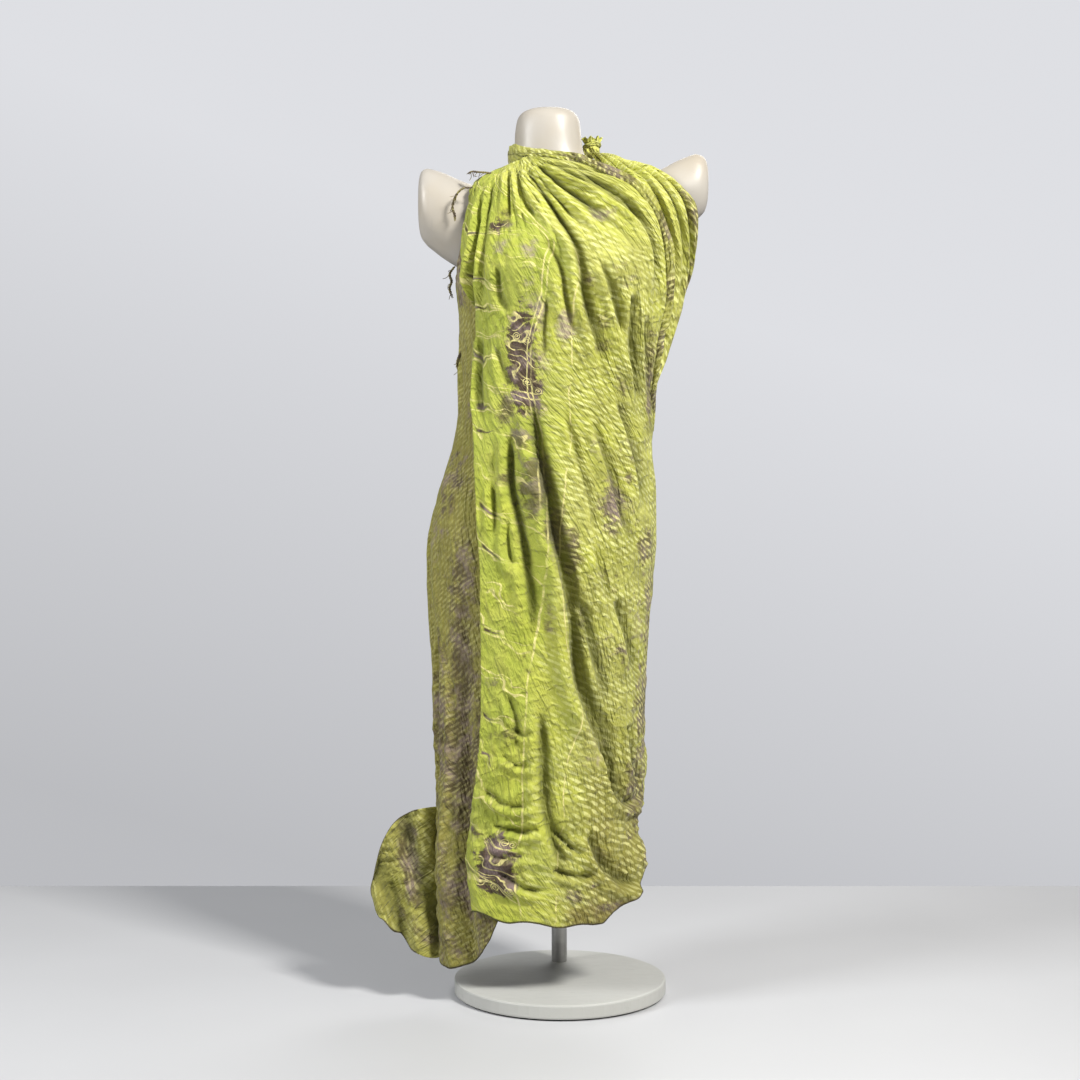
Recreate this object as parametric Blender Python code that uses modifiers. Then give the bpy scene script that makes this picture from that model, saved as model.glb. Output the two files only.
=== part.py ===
"""Wrap sarong of one batik cloth, tied at the neck of a limbless dress form on a round stand.

Metres, +Z up. The origin is on the floor, at the centre of the stand's underside, and the
garment's front looks along -Y. A turn is an angle round the body, in degrees: 0 at the front,
90 at +X, 180 at the back, and on past that where the cloth goes round again.
"""

import math
from collections import namedtuple

import bmesh
import bpy
import numpy as np

# ---------------------------------------------------------------- driving sizes
CLOTH_WALL = 0.0016
LAP_GAP = 0.010          # how far in the cloth lies one full turn further inside
INNER_TUCK = 0.006       # and how much more where it lies under the front stretch
PLAY = 0.0004            # gap left between neighbouring pieces
ROUNDNESS = 2.25         # 2 is an ellipse, more is squarer
BASE_RADIUS = 0.180
PAD_HEIGHT = 0.002
BASE_TOP = 0.026
POLE_RADIUS = 0.0135
POLE_BACK = 0.100        # the pole stands towards the plate's back, under the form's seat
FORM_FOOT = 0.640        # where the hollow-looking torso ends, above the pole
SIDE_SEAM = 90.0         # the front stretch turns into the back stretch here
BACK_SEAM = 180.0        # the back stretch turns into the side stretch here
INNER_END = 342.0        # the cloth's inner end, hidden under the front stretch

Section = namedtuple("Section", "height left right front back")
Flute = namedtuple("Flute", "turn_top turn_foot top full width reach")
Crease = namedtuple("Crease", "x_top z_top x_foot z_foot bow width depth")
Ring = namedtuple("Ring", "x z half_height half_depth")
Spot = namedtuple("Spot", "x y z")

# The wrapped cloth, as half sizes from the stand's axis at each height.
CLOTH_SECTIONS = (
    Section(0.040, 0.200, 0.120, 0.150, 0.150),
    Section(0.140, 0.212, 0.132, 0.152, 0.150),
    Section(0.240, 0.214, 0.134, 0.150, 0.148),
    Section(0.340, 0.212, 0.138, 0.146, 0.142),
    Section(0.450, 0.217, 0.142, 0.142, 0.138),
    Section(0.580, 0.224, 0.149, 0.142, 0.142),
    Section(0.700, 0.230, 0.159, 0.143, 0.150),
    Section(0.780, 0.228, 0.165, 0.141, 0.151),
    Section(0.860, 0.211, 0.164, 0.136, 0.142),
    Section(0.930, 0.189, 0.157, 0.132, 0.126),
    Section(1.000, 0.175, 0.160, 0.131, 0.114),
    Section(1.070, 0.167, 0.178, 0.136, 0.112),
    Section(1.140, 0.167, 0.197, 0.143, 0.116),
    Section(1.210, 0.175, 0.208, 0.147, 0.120),
    Section(1.270, 0.183, 0.214, 0.136, 0.118),
    Section(1.330, 0.173, 0.205, 0.117, 0.112),
    Section(1.370, 0.158, 0.180, 0.101, 0.104),
    Section(1.395, 0.118, 0.125, 0.088, 0.096),
    Section(1.420, 0.092, 0.072, 0.076, 0.086),
)

FORM_SECTIONS = (
    Section(0.640, 0.150, 0.090, 0.072, 0.117),
    Section(0.648, 0.163, 0.103, 0.084, 0.120),
    Section(0.680, 0.180, 0.120, 0.098, 0.122),
    Section(0.740, 0.194, 0.130, 0.106, 0.124),
    Section(0.800, 0.190, 0.132, 0.106, 0.122),
    Section(0.870, 0.166, 0.126, 0.102, 0.106),
    Section(0.940, 0.140, 0.118, 0.094, 0.086),
    Section(1.010, 0.124, 0.118, 0.090, 0.078),
    Section(1.080, 0.126, 0.126, 0.096, 0.080),
    Section(1.150, 0.136, 0.138, 0.104, 0.086),
    Section(1.220, 0.144, 0.148, 0.104, 0.092),
    Section(1.290, 0.148, 0.152, 0.094, 0.092),
    Section(1.340, 0.142, 0.148, 0.080, 0.084),
    Section(1.368, 0.122, 0.128, 0.068, 0.076),
    Section(1.386, 0.098, 0.092, 0.060, 0.068),
    Section(1.404, 0.084, 0.056, 0.057, 0.063),
    Section(1.430, 0.078, 0.040, 0.055, 0.060),
    Section(1.466, 0.077, 0.036, 0.054, 0.058),
    Section(1.488, 0.074, 0.034, 0.051, 0.055),
    Section(1.499, 0.064, 0.026, 0.042, 0.046),
    Section(1.5035, 0.046, 0.010, 0.025, 0.028),
)

# The back's and the side's top edge, and the hem all the way round: (turn, height).
BACK_TOP = (
    (90, 0.940), (105, 0.962), (130, 1.040), (160, 1.120), (180, 1.160), (210, 1.192),
    (240, 1.207), (264, 1.210), (278, 1.216), (288, 1.244), (298, 1.288), (342, 1.284),
)
HEM = (
    (-60, 0.165), (-36, 0.163), (-15, 0.152), (5, 0.147), (22, 0.143), (38, 0.152),
    (52, 0.172), (66, 0.205), (78, 0.262), (90, 0.312), (104, 0.330), (130, 0.325),
    (160, 0.305), (180, 0.294), (205, 0.290), (230, 0.302), (250, 0.318), (264, 0.322),
    (272, 0.285), (279, 0.165), (286, 0.092), (300, 0.062), (312, 0.074), (326, 0.105),
    (342, 0.135),
)
# The front's top row, from the outer end to the roll: (share across, height).
FRONT_TOP = ((0.0, 1.380), (0.25, 1.391), (0.50, 1.4015), (0.72, 1.3985), (1.0, 1.3895))
# The outer end's edge, which shows down the front: (height, turn).
FREE_EDGE = (
    (0.16, -34), (0.24, -42), (0.33, -36), (0.42, -30), (0.50, -28), (0.60, -27),
    (0.75, -28), (0.83, -33), (0.92, -43), (1.00, -53), (1.10, -61), (1.20, -63),
    (1.30, -62), (1.40, -64),
)
# The front's other edge: the roll, and below it the side seam: (height, turn).
ROLL_EDGE = (
    (0.90, 89.8), (0.940, 89.8), (0.970, 83), (1.0125, 72), (1.060, 63), (1.1125, 57.5),
    (1.152, 58), (1.190, 57), (1.228, 54.4), (1.280, 48.2), (1.3215, 41.9), (1.348, 35.9),
    (1.3745, 24.6), (1.388, 17.5), (1.410, 4),
)

# Upright folds that swing the whole tube in or out. A minus reach is a trough.
FLUTES = (
    Flute(298, 299, 0.780, 0.300, 13.0, 0.016),    # the column beside the front edge
    Flute(318, 316, 0.740, 0.340, 7.5, -0.016),    # the dark trough next to it
    Flute(272, 272, 0.460, 0.260, 8.0, -0.012),    # behind the column, where the corner starts
    Flute(238, 236, 0.420, 0.250, 10.0, -0.016),
    Flute(98, 102, 0.520, 0.360, 11.0, 0.011),
    Flute(66, 68, 0.300, 0.235, 13.0, 0.022),
    Flute(84, 84, 0.330, 0.280, 6.0, -0.010),
    Flute(126, 122, 0.760, 0.420, 9.0, -0.011),
    Flute(146, 150, 0.900, 0.420, 11.0, 0.012),
    Flute(170, 174, 0.820, 0.420, 9.0, -0.013),
    Flute(196, 198, 0.960, 0.440, 12.0, 0.013),
    Flute(219, 217, 0.700, 0.400, 8.0, -0.010),
)

# The largest folds of the front, as seen from the front: they fan from the neck.
FRONT_CREASES = (
    Crease(-0.084, 1.398, -0.090, 1.262, 0.002, 0.0085, -0.013),
    Crease(-0.076, 1.398, -0.034, 1.256, 0.004, 0.0090, -0.012),
    Crease(-0.062, 1.398, 0.044, 1.232, 0.010, 0.0105, -0.016),
    Crease(-0.044, 1.396, 0.096, 1.230, 0.011, 0.0100, -0.013),
    Crease(-0.016, 1.392, 0.146, 1.222, 0.012, 0.0095, -0.012),
    Crease(0.020, 1.262, 0.132, 0.900, -0.006, 0.0140, -0.018),
    Crease(0.118, 1.190, 0.148, 0.920, -0.004, 0.0110, -0.012),
    Crease(-0.136, 1.150, -0.086, 0.920, 0.006, 0.0110, -0.009),
    Crease(-0.020, 1.215, -0.046, 0.900, 0.006, 0.0110, -0.009),
    Crease(-0.046, 0.980, 0.034, 0.480, 0.010, 0.0150, -0.021),
    Crease(-0.084, 0.850, -0.044, 0.500, 0.006, 0.0120, -0.011),
    Crease(0.030, 0.560, 0.118, 0.300, -0.004, 0.0160, -0.017),
    Crease(0.064, 0.760, 0.120, 0.400, 0.006, 0.0150, 0.008),
    Crease(-0.050, 0.530, 0.022, 0.190, 0.008, 0.0150, -0.013),
    Crease(-0.134, 1.385, -0.142, 0.900, -0.004, 0.0070, -0.009),
)

# The largest folds of the back, as seen from the front through the cloth.
BACK_CREASES = (
    Crease(0.128, 1.000, 0.020, 0.560, 0.014, 0.0120, -0.011),
    Crease(0.140, 0.980, 0.086, 0.480, 0.010, 0.0120, -0.010),
    Crease(0.070, 1.070, -0.080, 0.700, 0.012, 0.0110, -0.009),
    Crease(-0.020, 1.130, -0.130, 0.900, 0.008, 0.0100, -0.008),
    Crease(-0.120, 1.180, -0.150, 0.760, 0.008, 0.0110, -0.008),
    Crease(-0.040, 0.760, -0.070, 0.360, 0.010, 0.0130, -0.011),
)

# The kicked-out lower corner: its upper and lower edge at shares of its reach.
CornerColumn = namedtuple("CornerColumn", "share x y_top z_top y_foot z_foot")
HEM_CORNER = (
    CornerColumn(0.00, -0.208, -0.040, 0.318, -0.070, 0.080),
    CornerColumn(0.18, -0.226, -0.046, 0.319, -0.086, 0.074),
    CornerColumn(0.46, -0.256, -0.048, 0.309, -0.076, 0.098),
    CornerColumn(0.72, -0.288, -0.048, 0.284, -0.064, 0.128),
    CornerColumn(0.90, -0.306, -0.049, 0.240, -0.056, 0.147),
    CornerColumn(1.00, -0.315, -0.050, 0.206, -0.053, 0.158),
)
CORNER_TURN = 281.0      # where it leaves the side stretch
CORNER_CLEAR = 0.003
CORNER_BELLY = 0.012
CORNER_BOW = -0.004
CORNER_RIPPLE = 0.008

# The shoulder stretch, from the knot over the +X shoulder and down that side. A row holds
# the spots from its front end to its back end.
SHOULDER_ROWS = (
    (Spot(0.046, 0.030, 1.4350), Spot(0.053, 0.029, 1.4370), Spot(0.060, 0.031, 1.4360), Spot(0.067, 0.036, 1.4330)),
    (Spot(0.054, 0.008, 1.4250), Spot(0.066, 0.008, 1.4290), Spot(0.080, 0.011, 1.4260), Spot(0.094, 0.020, 1.4190)),
    (Spot(0.062, -0.022, 1.4060), Spot(0.082, -0.022, 1.4120), Spot(0.106, -0.014, 1.4120), Spot(0.130, 0.000, 1.4050)),
    (Spot(0.070, -0.052, 1.3850), Spot(0.098, -0.052, 1.3900), Spot(0.132, -0.044, 1.3960), Spot(0.166, -0.036, 1.3920)),
    (Spot(0.080, -0.070, 1.3580), Spot(0.118, -0.070, 1.3640), Spot(0.164, -0.067, 1.3680), Spot(0.208, -0.064, 1.3580)),
    (Spot(0.098, -0.084, 1.3180), Spot(0.142, -0.079, 1.3200), Spot(0.190, -0.073, 1.3220), Spot(0.231, -0.060, 1.3160)),
    (Spot(0.114, -0.092, 1.2700), Spot(0.162, -0.078, 1.2640), Spot(0.206, -0.054, 1.2560), Spot(0.228, -0.012, 1.2380)),
    (Spot(0.122, -0.094, 1.2000), Spot(0.168, -0.075, 1.1960), Spot(0.202, -0.033, 1.1900), Spot(0.204, 0.034, 1.1740)),
    (Spot(0.112, -0.092, 1.1300), Spot(0.154, -0.070, 1.1260), Spot(0.187, -0.024, 1.1200), Spot(0.182, 0.054, 1.1080)),
    (Spot(0.102, -0.086, 1.0600), Spot(0.140, -0.062, 1.0560), Spot(0.166, -0.014, 1.0500), Spot(0.157, 0.054, 1.0400)),
    (Spot(0.094, -0.080, 0.9900), Spot(0.126, -0.056, 0.9870), Spot(0.147, -0.012, 0.9820), Spot(0.136, 0.048, 0.9740)),
    (Spot(0.092, -0.078, 0.9300), Spot(0.121, -0.054, 0.9270), Spot(0.138, -0.012, 0.9220), Spot(0.127, 0.044, 0.9140)),
)
SHOULDER_PLEATS = 5.5
SHOULDER_PLEAT_DEPTH = 0.0040

# The gathered corner round the neck: middle of the band, then its height and its thickness.
BandSpot = namedtuple("BandSpot", "x y z height thick")
NECK_BAND = (
    BandSpot(0.0360, 0.0570, 1.4400, 0.017, 0.0090),
    BandSpot(0.0120, 0.0700, 1.4410, 0.020, 0.0095),
    BandSpot(-0.030, 0.0745, 1.4410, 0.022, 0.0085),
    BandSpot(-0.066, 0.0560, 1.4390, 0.024, 0.0085),
    BandSpot(-0.0835, 0.0160, 1.4310, 0.026, 0.0075),
    BandSpot(-0.0835, -0.026, 1.4220, 0.027, 0.0080),
    BandSpot(-0.0680, -0.060, 1.4150, 0.024, 0.0100),
    BandSpot(-0.0300, -0.077, 1.4110, 0.018, 0.0120),
    BandSpot(0.0080, -0.0795, 1.4055, 0.016, 0.0120),
    BandSpot(0.0430, -0.0850, 1.3990, 0.013, 0.0115),
)
EDGE_ROLL_RADIUS = 0.0058
EDGE_ROLL_HEIGHTS = (1.3925, 0.965)
BAND_SIDES = 10
BAND_RIDGES = 3          # the twist's ridges, which wind along the band and the roll
RIDGE_SHARE = 0.13

LEFT_STUB = (
    Ring(-0.080, 1.290, 0.064, 0.046), Ring(-0.130, 1.296, 0.074, 0.052),
    Ring(-0.165, 1.305, 0.077, 0.053), Ring(-0.200, 1.324, 0.074, 0.051),
    Ring(-0.228, 1.339, 0.067, 0.047), Ring(-0.238, 1.343, 0.057, 0.039),
    Ring(-0.241, 1.345, 0.040, 0.027),
)
RIGHT_STUB = (
    Ring(0.080, 1.300, 0.060, 0.046), Ring(0.130, 1.312, 0.066, 0.050),
    Ring(0.165, 1.335, 0.064, 0.048), Ring(0.200, 1.356, 0.062, 0.046),
    Ring(0.232, 1.373, 0.058, 0.042), Ring(0.246, 1.376, 0.050, 0.035),
    Ring(0.2525, 1.378, 0.034, 0.024),
)

# The tied ends and the short fringe twists, as routes of their middle line.
KNOT_CENTRE = Spot(0.0560, 0.0540, 1.4460)
KNOT_RADIUS = 0.0150
TWIST_RADIUS = 0.0032
TWISTS = {
    "fringe_twist_shoulder": (
        Spot(-0.1280, -0.0560, 1.3885), Spot(-0.1380, -0.0500, 1.3925), Spot(-0.1480, -0.0450, 1.3915),
        Spot(-0.1570, -0.0420, 1.3860),
    ),
    "fringe_twist_corner": (
        Spot(-0.1620, -0.0700, 1.3530), Spot(-0.1700, -0.0680, 1.3500), Spot(-0.1780, -0.0650, 1.3390),
        Spot(-0.1800, -0.0640, 1.3250), Spot(-0.1765, -0.0640, 1.3130), Spot(-0.1755, -0.0650, 1.3020),
    ),
    "fringe_twist_underarm": (
        Spot(-0.1880, -0.0120, 1.2330), Spot(-0.1935, -0.0100, 1.2220), Spot(-0.1905, -0.0080, 1.2100),
        Spot(-0.1945, -0.0060, 1.1990), Spot(-0.1900, -0.0040, 1.1870),
    ),
    "fringe_twist_waist": (
        Spot(-0.1670, -0.0040, 1.0980), Spot(-0.1715, -0.0020, 1.0880), Spot(-0.1750, 0.0000, 1.0740),
        Spot(-0.1735, 0.0020, 1.0620), Spot(-0.1680, 0.0030, 1.0540),
    ),
}


# ---------------------------------------------------------------- small maths
def smooth_step(value):
    value = np.clip(value, 0.0, 1.0)
    return value * value * (3.0 - 2.0 * value)


def follow(table, at):
    """A smooth line through (position, value) pairs: a cubic with the slope of its neighbours."""
    places = np.array([row[0] for row in table], float)
    values = np.array([row[1] for row in table], float)
    slopes = np.gradient(values, places)
    at = np.clip(at, places[0], places[-1])
    k = np.clip(np.searchsorted(places, at, side="right") - 1, 0, len(places) - 2)
    span = places[k + 1] - places[k]
    t = (at - places[k]) / span
    rise = values[k] * (1 + 2 * t) * (1 - t) ** 2 + values[k + 1] * t * t * (3 - 2 * t)
    return rise + slopes[k] * span * t * (1 - t) ** 2 - slopes[k + 1] * span * t * t * (1 - t)


def route(points, count):
    """count points spread along a smooth line through a few."""
    points = np.array(points, float)
    steps = np.arange(len(points), dtype=float)
    at = np.linspace(0.0, steps[-1], count)
    return np.stack([follow(list(zip(steps, points[:, k])), at) for k in range(points.shape[1])], axis=1)


def section_at(sections, height):
    heights = [row.height for row in sections]
    return [
        follow(list(zip(heights, [getattr(row, side) for row in sections])), height)
        for side in ("left", "right", "front", "back")
    ]


def girth(sections, turn, height, stand_off):
    """Points at a turn and height on a body, moved out by stand_off, and their outward ways."""
    left, right, front, back = section_at(sections, height)
    angle = np.radians(turn)
    sine, cosine = np.sin(angle), np.cos(angle)
    half_width = (left + right) / 2
    half_depth = np.where(cosine > 0, front, back)
    power = 2.0 / ROUNDNESS
    x = (right - left) / 2 + half_width * np.sign(sine) * np.abs(sine) ** power
    y = -half_depth * np.sign(cosine) * np.abs(cosine) ** power
    out = np.stack([sine / half_width, -cosine / half_depth], axis=-1)
    out /= np.linalg.norm(out, axis=-1, keepdims=True)
    out = np.concatenate([out, np.zeros_like(out[..., :1])], axis=-1)
    points = np.stack([x, y, height * np.ones_like(x)], axis=-1)
    return points + out * np.asarray(stand_off)[..., None], out


# ---------------------------------------------------------------- folds
def flute_reach(turn, height):
    total = np.zeros_like(turn)
    for flute in FLUTES:
        down = (flute.top - height) / (flute.top - flute.full)
        centre = flute.turn_top + (flute.turn_foot - flute.turn_top) * np.clip(down, 0, 1)
        away = (turn - centre + 180.0) % 360.0 - 180.0
        total += flute.reach * smooth_step(down) * np.exp(-((away / flute.width) ** 2))
    return total


def crease_reach(creases, x, z):
    total = np.zeros_like(x)
    along = np.linspace(0.0, 1.0, 120)
    for crease in creases:
        start = np.array([crease.x_top, crease.z_top])
        end = np.array([crease.x_foot, crease.z_foot])
        way = (end - start) / np.linalg.norm(end - start)
        side = np.array([way[1], -way[0]])
        line = start + np.outer(along, end - start) - np.outer(4 * along * (1 - along) * crease.bow, side)
        gaps = np.hypot(x[..., None] - line[:, 0], z[..., None] - line[:, 1])
        nearest = gaps.argmin(axis=-1)
        place = along[nearest]
        taper = smooth_step(place / 0.12) * smooth_step((1 - place) / 0.25)
        total += crease.depth * taper * np.exp(-((gaps.min(axis=-1) / crease.width) ** 2))
    return total


BUST_HEIGHT = 1.222
BUST_SPREAD = 0.052
BUST_REACH = 0.014
BUST_HALF_GAP = 0.078


def bust_reach(x, z):
    """The soft fullness that the cloth keeps over the form's chest."""
    total = np.zeros_like(x)
    for centre in (-BUST_HALF_GAP, BUST_HALF_GAP + 0.012):
        total += BUST_REACH * np.exp(-(((x - centre) ** 2 + (z - BUST_HEIGHT) ** 2) / BUST_SPREAD**2))
    return total


def wrap_point(turn, height):
    """The wrapped cloth's middle surface. It winds inwards by LAP_GAP with each full turn."""
    stand_off = -LAP_GAP * turn / 360.0 - INNER_TUCK * smooth_step((turn - 285.0) / 20.0)
    bare, out = girth(CLOTH_SECTIONS, turn, height, stand_off)
    facing = np.cos(np.radians(turn))
    front = smooth_step(facing / 0.35)
    back = smooth_step(-facing / 0.35)
    outer = turn < BACK_SEAM
    reach = flute_reach(turn, height)
    reach += front * outer * crease_reach(FRONT_CREASES, bare[..., 0], bare[..., 2])
    reach += back * crease_reach(BACK_CREASES, bare[..., 0], bare[..., 2])
    reach += front * bust_reach(bare[..., 0], bare[..., 2])
    return bare + out * reach[..., None]


# ---------------------------------------------------------------- Blender helpers
def clear_scene():
    for obj in list(bpy.data.objects):
        bpy.data.objects.remove(obj, do_unlink=True)


def make_material(name, colour, roughness, metallic=0.0):
    material = bpy.data.materials.new(name)
    material.use_nodes = True
    shader = material.node_tree.nodes["Principled BSDF"]
    shader.inputs["Base Color"].default_value = (*colour, 1.0)
    shader.inputs["Roughness"].default_value = roughness
    shader.inputs["Metallic"].default_value = metallic
    material.diffuse_color = (*colour, 1.0)
    return material


def place_object(name, mesh, collection, material):
    obj = bpy.data.objects.new(name, mesh)
    collection.objects.link(obj)
    mesh.materials.append(material)
    mesh.shade_smooth()
    return obj


def grid_mesh(name, points, closed_across=False):
    """A mesh through rows of points, which may close on themselves across.

    Each cell is split from its upper near corner to its lower far one, the way the cloth's
    slanting folds run, so that a fold stays smooth where it crosses the columns.
    """
    rows, columns = points.shape[:2]
    across = columns if closed_across else columns - 1
    faces = []
    for row in range(rows - 1):
        for column in range(across):
            near = row * columns + column
            far = row * columns + (column + 1) % columns
            faces.append((near, near + columns, far + columns))
            faces.append((near, far + columns, far))
    mesh = bpy.data.meshes.new(name)
    mesh.from_pydata(points.reshape(-1, 3).tolist(), [], faces)
    return mesh


def cap_ends(mesh):
    """Closes the open rings of a lofted tube and turns every face outwards."""
    work = bmesh.new()
    work.from_mesh(mesh)
    rim = [edge for edge in work.edges if edge.is_boundary]
    bmesh.ops.holes_fill(work, edges=rim, sides=0)
    bmesh.ops.recalc_face_normals(work, faces=work.faces)
    work.to_mesh(mesh)
    work.free()


def cloth_sheet(name, points, collection, material):
    """Cloth as an open sheet with its wall put on by Solidify."""
    obj = place_object(name, grid_mesh(name, points), collection, material)
    wall = obj.modifiers.new("wall", "SOLIDIFY")
    wall.thickness = CLOTH_WALL
    wall.offset = 0.0
    return obj


def wrap_stretch(first_turn, last_turn, count_across, count_down):
    """A grid over part of the back or side, between two turns."""
    turn, down = np.meshgrid(np.linspace(first_turn, last_turn, count_across), np.linspace(0, 1, count_down))
    top = follow(BACK_TOP, turn)
    height = top + (follow(HEM, turn) - top) * down
    return wrap_point(turn, height)


def front_turn(across, height):
    """Columns fan out from the neck, between the outer end's edge and the roll."""
    edge = follow(FREE_EDGE, height)
    far = np.minimum(follow(ROLL_EDGE, height), SIDE_SEAM - 0.15)
    return edge + (far - edge) * across


# ---------------------------------------------------------------- the cloth
def build_front_fall(collection, material):
    across, down = np.meshgrid(np.linspace(0, 1, 38), np.linspace(0, 1, 25) ** 1.08)
    top = follow(FRONT_TOP, across)
    foot = follow(HEM, front_turn(across, 0.20 + 0.0 * across))
    height = top + (foot - top) * down
    return cloth_sheet("front_fall", wrap_point(front_turn(across, height), height), collection, material)


def build_back_wrap(collection, material):
    points = wrap_stretch(SIDE_SEAM + 0.15, BACK_SEAM - 0.15, 13, 16)
    return cloth_sheet("back_wrap", points, collection, material)


def build_side_wrap(collection, material):
    points = wrap_stretch(BACK_SEAM + 0.15, INNER_END, 26, 18)
    return cloth_sheet("side_wrap", points, collection, material)


def build_hem_corner(collection, material):
    """The cloth's lower corner, which kicks out where the side stretch leaves off."""
    across, down = np.meshgrid(np.linspace(0, 1, 12), np.linspace(0, 1, 10))
    shares = [row.share for row in HEM_CORNER]
    x, y_top, z_top, y_foot, z_foot = [
        follow(list(zip(shares, [getattr(row, field) for row in HEM_CORNER])), across)
        for field in ("x", "y_top", "z_top", "y_foot", "z_foot")
    ]
    z = z_top + (z_foot - z_top) * down
    y = y_top + (y_foot - y_top) * down + CORNER_BELLY * np.sin(math.pi * down) * (0.4 + across)
    y = y + CORNER_RIPPLE * np.cos(2 * math.pi * 1.6 * across + 0.8) * smooth_step(down / 0.4)
    x = x + CORNER_BOW * np.sin(math.pi * down) * across
    free = np.stack([x, y, z], axis=-1)
    turn = CORNER_TURN + 0.0 * across
    root = wrap_point(turn, z) + girth(CLOTH_SECTIONS, turn, z, 0.0 * turn)[1] * (CLOTH_WALL + CORNER_CLEAR)
    share = smooth_step(across / 0.30)[..., None]
    return cloth_sheet("hem_corner", root + (free - root) * share, collection, material)


def build_shoulder_drape(collection, material):
    across, along = 16, 19
    spread = np.stack([route(row, across) for row in SHOULDER_ROWS])
    points = np.stack([route(spread[:, k], along) for k in range(across)], axis=1)
    along_u = np.gradient(points, axis=1)
    along_v = np.gradient(points, axis=0)
    out = np.cross(along_v, along_u)
    out /= np.linalg.norm(out, axis=-1, keepdims=True)
    share = np.linspace(0, 1, across)
    down = np.linspace(0, 1, along)
    fade = smooth_step(down / 0.25) * (0.25 + 0.75 * smooth_step((1 - down) / 0.35))
    pleats = SHOULDER_PLEAT_DEPTH * np.cos(2 * math.pi * SHOULDER_PLEATS * share**1.15)
    points = points + out * (pleats[None, :] * fade[:, None])[..., None]
    return cloth_sheet("shoulder_drape", points, collection, material)


def twisted_tube(line, heights, thicks, winds):
    """Rings of an upright oval along a line, ridged by the cloth's twist."""
    way = np.gradient(line, axis=0)
    way /= np.linalg.norm(way, axis=1, keepdims=True)
    side = np.cross(way, np.array([0.0, 0.0, 1.0]))
    side /= np.linalg.norm(side, axis=1, keepdims=True)
    up = np.cross(side, way)
    angles = np.linspace(0, 2 * math.pi, BAND_SIDES, endpoint=False)
    wound = 2 * math.pi * winds * np.linspace(0, 1, len(line))
    swell = 1.0 + RIDGE_SHARE * np.cos(BAND_RIDGES * (angles[None, :] + wound[:, None]))
    return (
        line[:, None, :]
        + side[:, None, :] * (np.cos(angles) * swell * thicks[:, None] / 2)[..., None]
        + up[:, None, :] * (np.sin(angles) * swell * heights[:, None] / 2)[..., None]
    )


def build_neck_band(collection, material):
    path = route(NECK_BAND, 26)
    rings = twisted_tube(path[:, :3], path[:, 3], path[:, 4], 1.6)
    mesh = grid_mesh("neck_band", rings, closed_across=True)
    cap_ends(mesh)
    return place_object("neck_band", mesh, collection, material)


def build_edge_roll(collection, material):
    """The front stretch's far edge, rolled over on itself, from the neck to the +X side."""
    heights = np.linspace(*EDGE_ROLL_HEIGHTS, 24)
    turns = follow(ROLL_EDGE, heights)
    line = wrap_point(turns, heights)
    out = girth(CLOTH_SECTIONS, turns, heights, 0.0 * turns)[1]
    way = np.gradient(line, axis=0)
    way /= np.linalg.norm(way, axis=1, keepdims=True)
    away = np.cross(out, way)
    away /= np.linalg.norm(away, axis=1, keepdims=True)
    line = line + away * (EDGE_ROLL_RADIUS + 0.0018) + out * 0.0018
    share = np.linspace(0, 1, len(line))
    thick = 2 * EDGE_ROLL_RADIUS * (1.0 - 0.45 * smooth_step((share - 0.6) / 0.4))
    rings = twisted_tube(line, thick * 1.05, thick, 1.3)
    mesh = grid_mesh("edge_roll", rings, closed_across=True)
    cap_ends(mesh)
    return place_object("edge_roll", mesh, collection, material)


def build_knot(collection, material):
    """The tied corners: a squat pinched ball, with the two short ends fanned out above it."""
    bpy.ops.mesh.primitive_uv_sphere_add(segments=12, ring_count=8, radius=KNOT_RADIUS)
    knot = bpy.context.object
    knot.name = "knot"
    for home in list(knot.users_collection):
        home.objects.unlink(knot)
    collection.objects.link(knot)
    for vertex in knot.data.vertices:
        turn = math.atan2(vertex.co.y, vertex.co.x)
        swell = 1.0 + 0.10 * math.cos(3 * turn)
        vertex.co = (vertex.co.x * swell, vertex.co.y * swell, vertex.co.z * 0.80)
    knot.location = KNOT_CENTRE
    knot.data.materials.append(material)
    knot.data.shade_smooth()
    return knot


def build_knot_ends(collection, material):
    """Each end is a small pleated fan, wider at its free rim."""
    made = []
    ends = (("knot_end_front", -0.0085, 0.016, -0.004), ("knot_end_back", 0.0085, 0.018, 0.005))
    for name, shift, length, set_back in ends:
        turn, rise = np.meshgrid(np.linspace(0, 2 * math.pi, 15, endpoint=False), np.linspace(0, 1, 4))
        radius = 0.0040 + 0.0065 * rise + 0.0018 * rise * np.cos(5 * turn)
        x = KNOT_CENTRE.x + shift * (0.62 + 0.75 * rise) + radius * np.cos(turn) * 0.75
        y = KNOT_CENTRE.y + set_back * rise + radius * np.sin(turn)
        z = KNOT_CENTRE.z + KNOT_RADIUS * 0.80 + PLAY + length * rise
        mesh = grid_mesh(name, np.stack([x, y, z], axis=-1), closed_across=True)
        cap_ends(mesh)
        made.append(place_object(name, mesh, collection, material))
    return made


def build_twists(collection, material):
    """The cloth's fringe twists that show at its edge."""
    for name, spots in TWISTS.items():
        curve = bpy.data.curves.new(name, "CURVE")
        curve.dimensions = "3D"
        curve.bevel_depth = TWIST_RADIUS
        curve.bevel_resolution = 1
        curve.use_fill_caps = True
        spline = curve.splines.new("POLY")
        line = route(spots, 7)
        spline.points.add(len(line) - 1)
        for point, place in zip(spline.points, line):
            point.co = (*place, 1.0)
        obj = bpy.data.objects.new(name, curve)
        curve.materials.append(material)
        collection.objects.link(obj)


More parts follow.
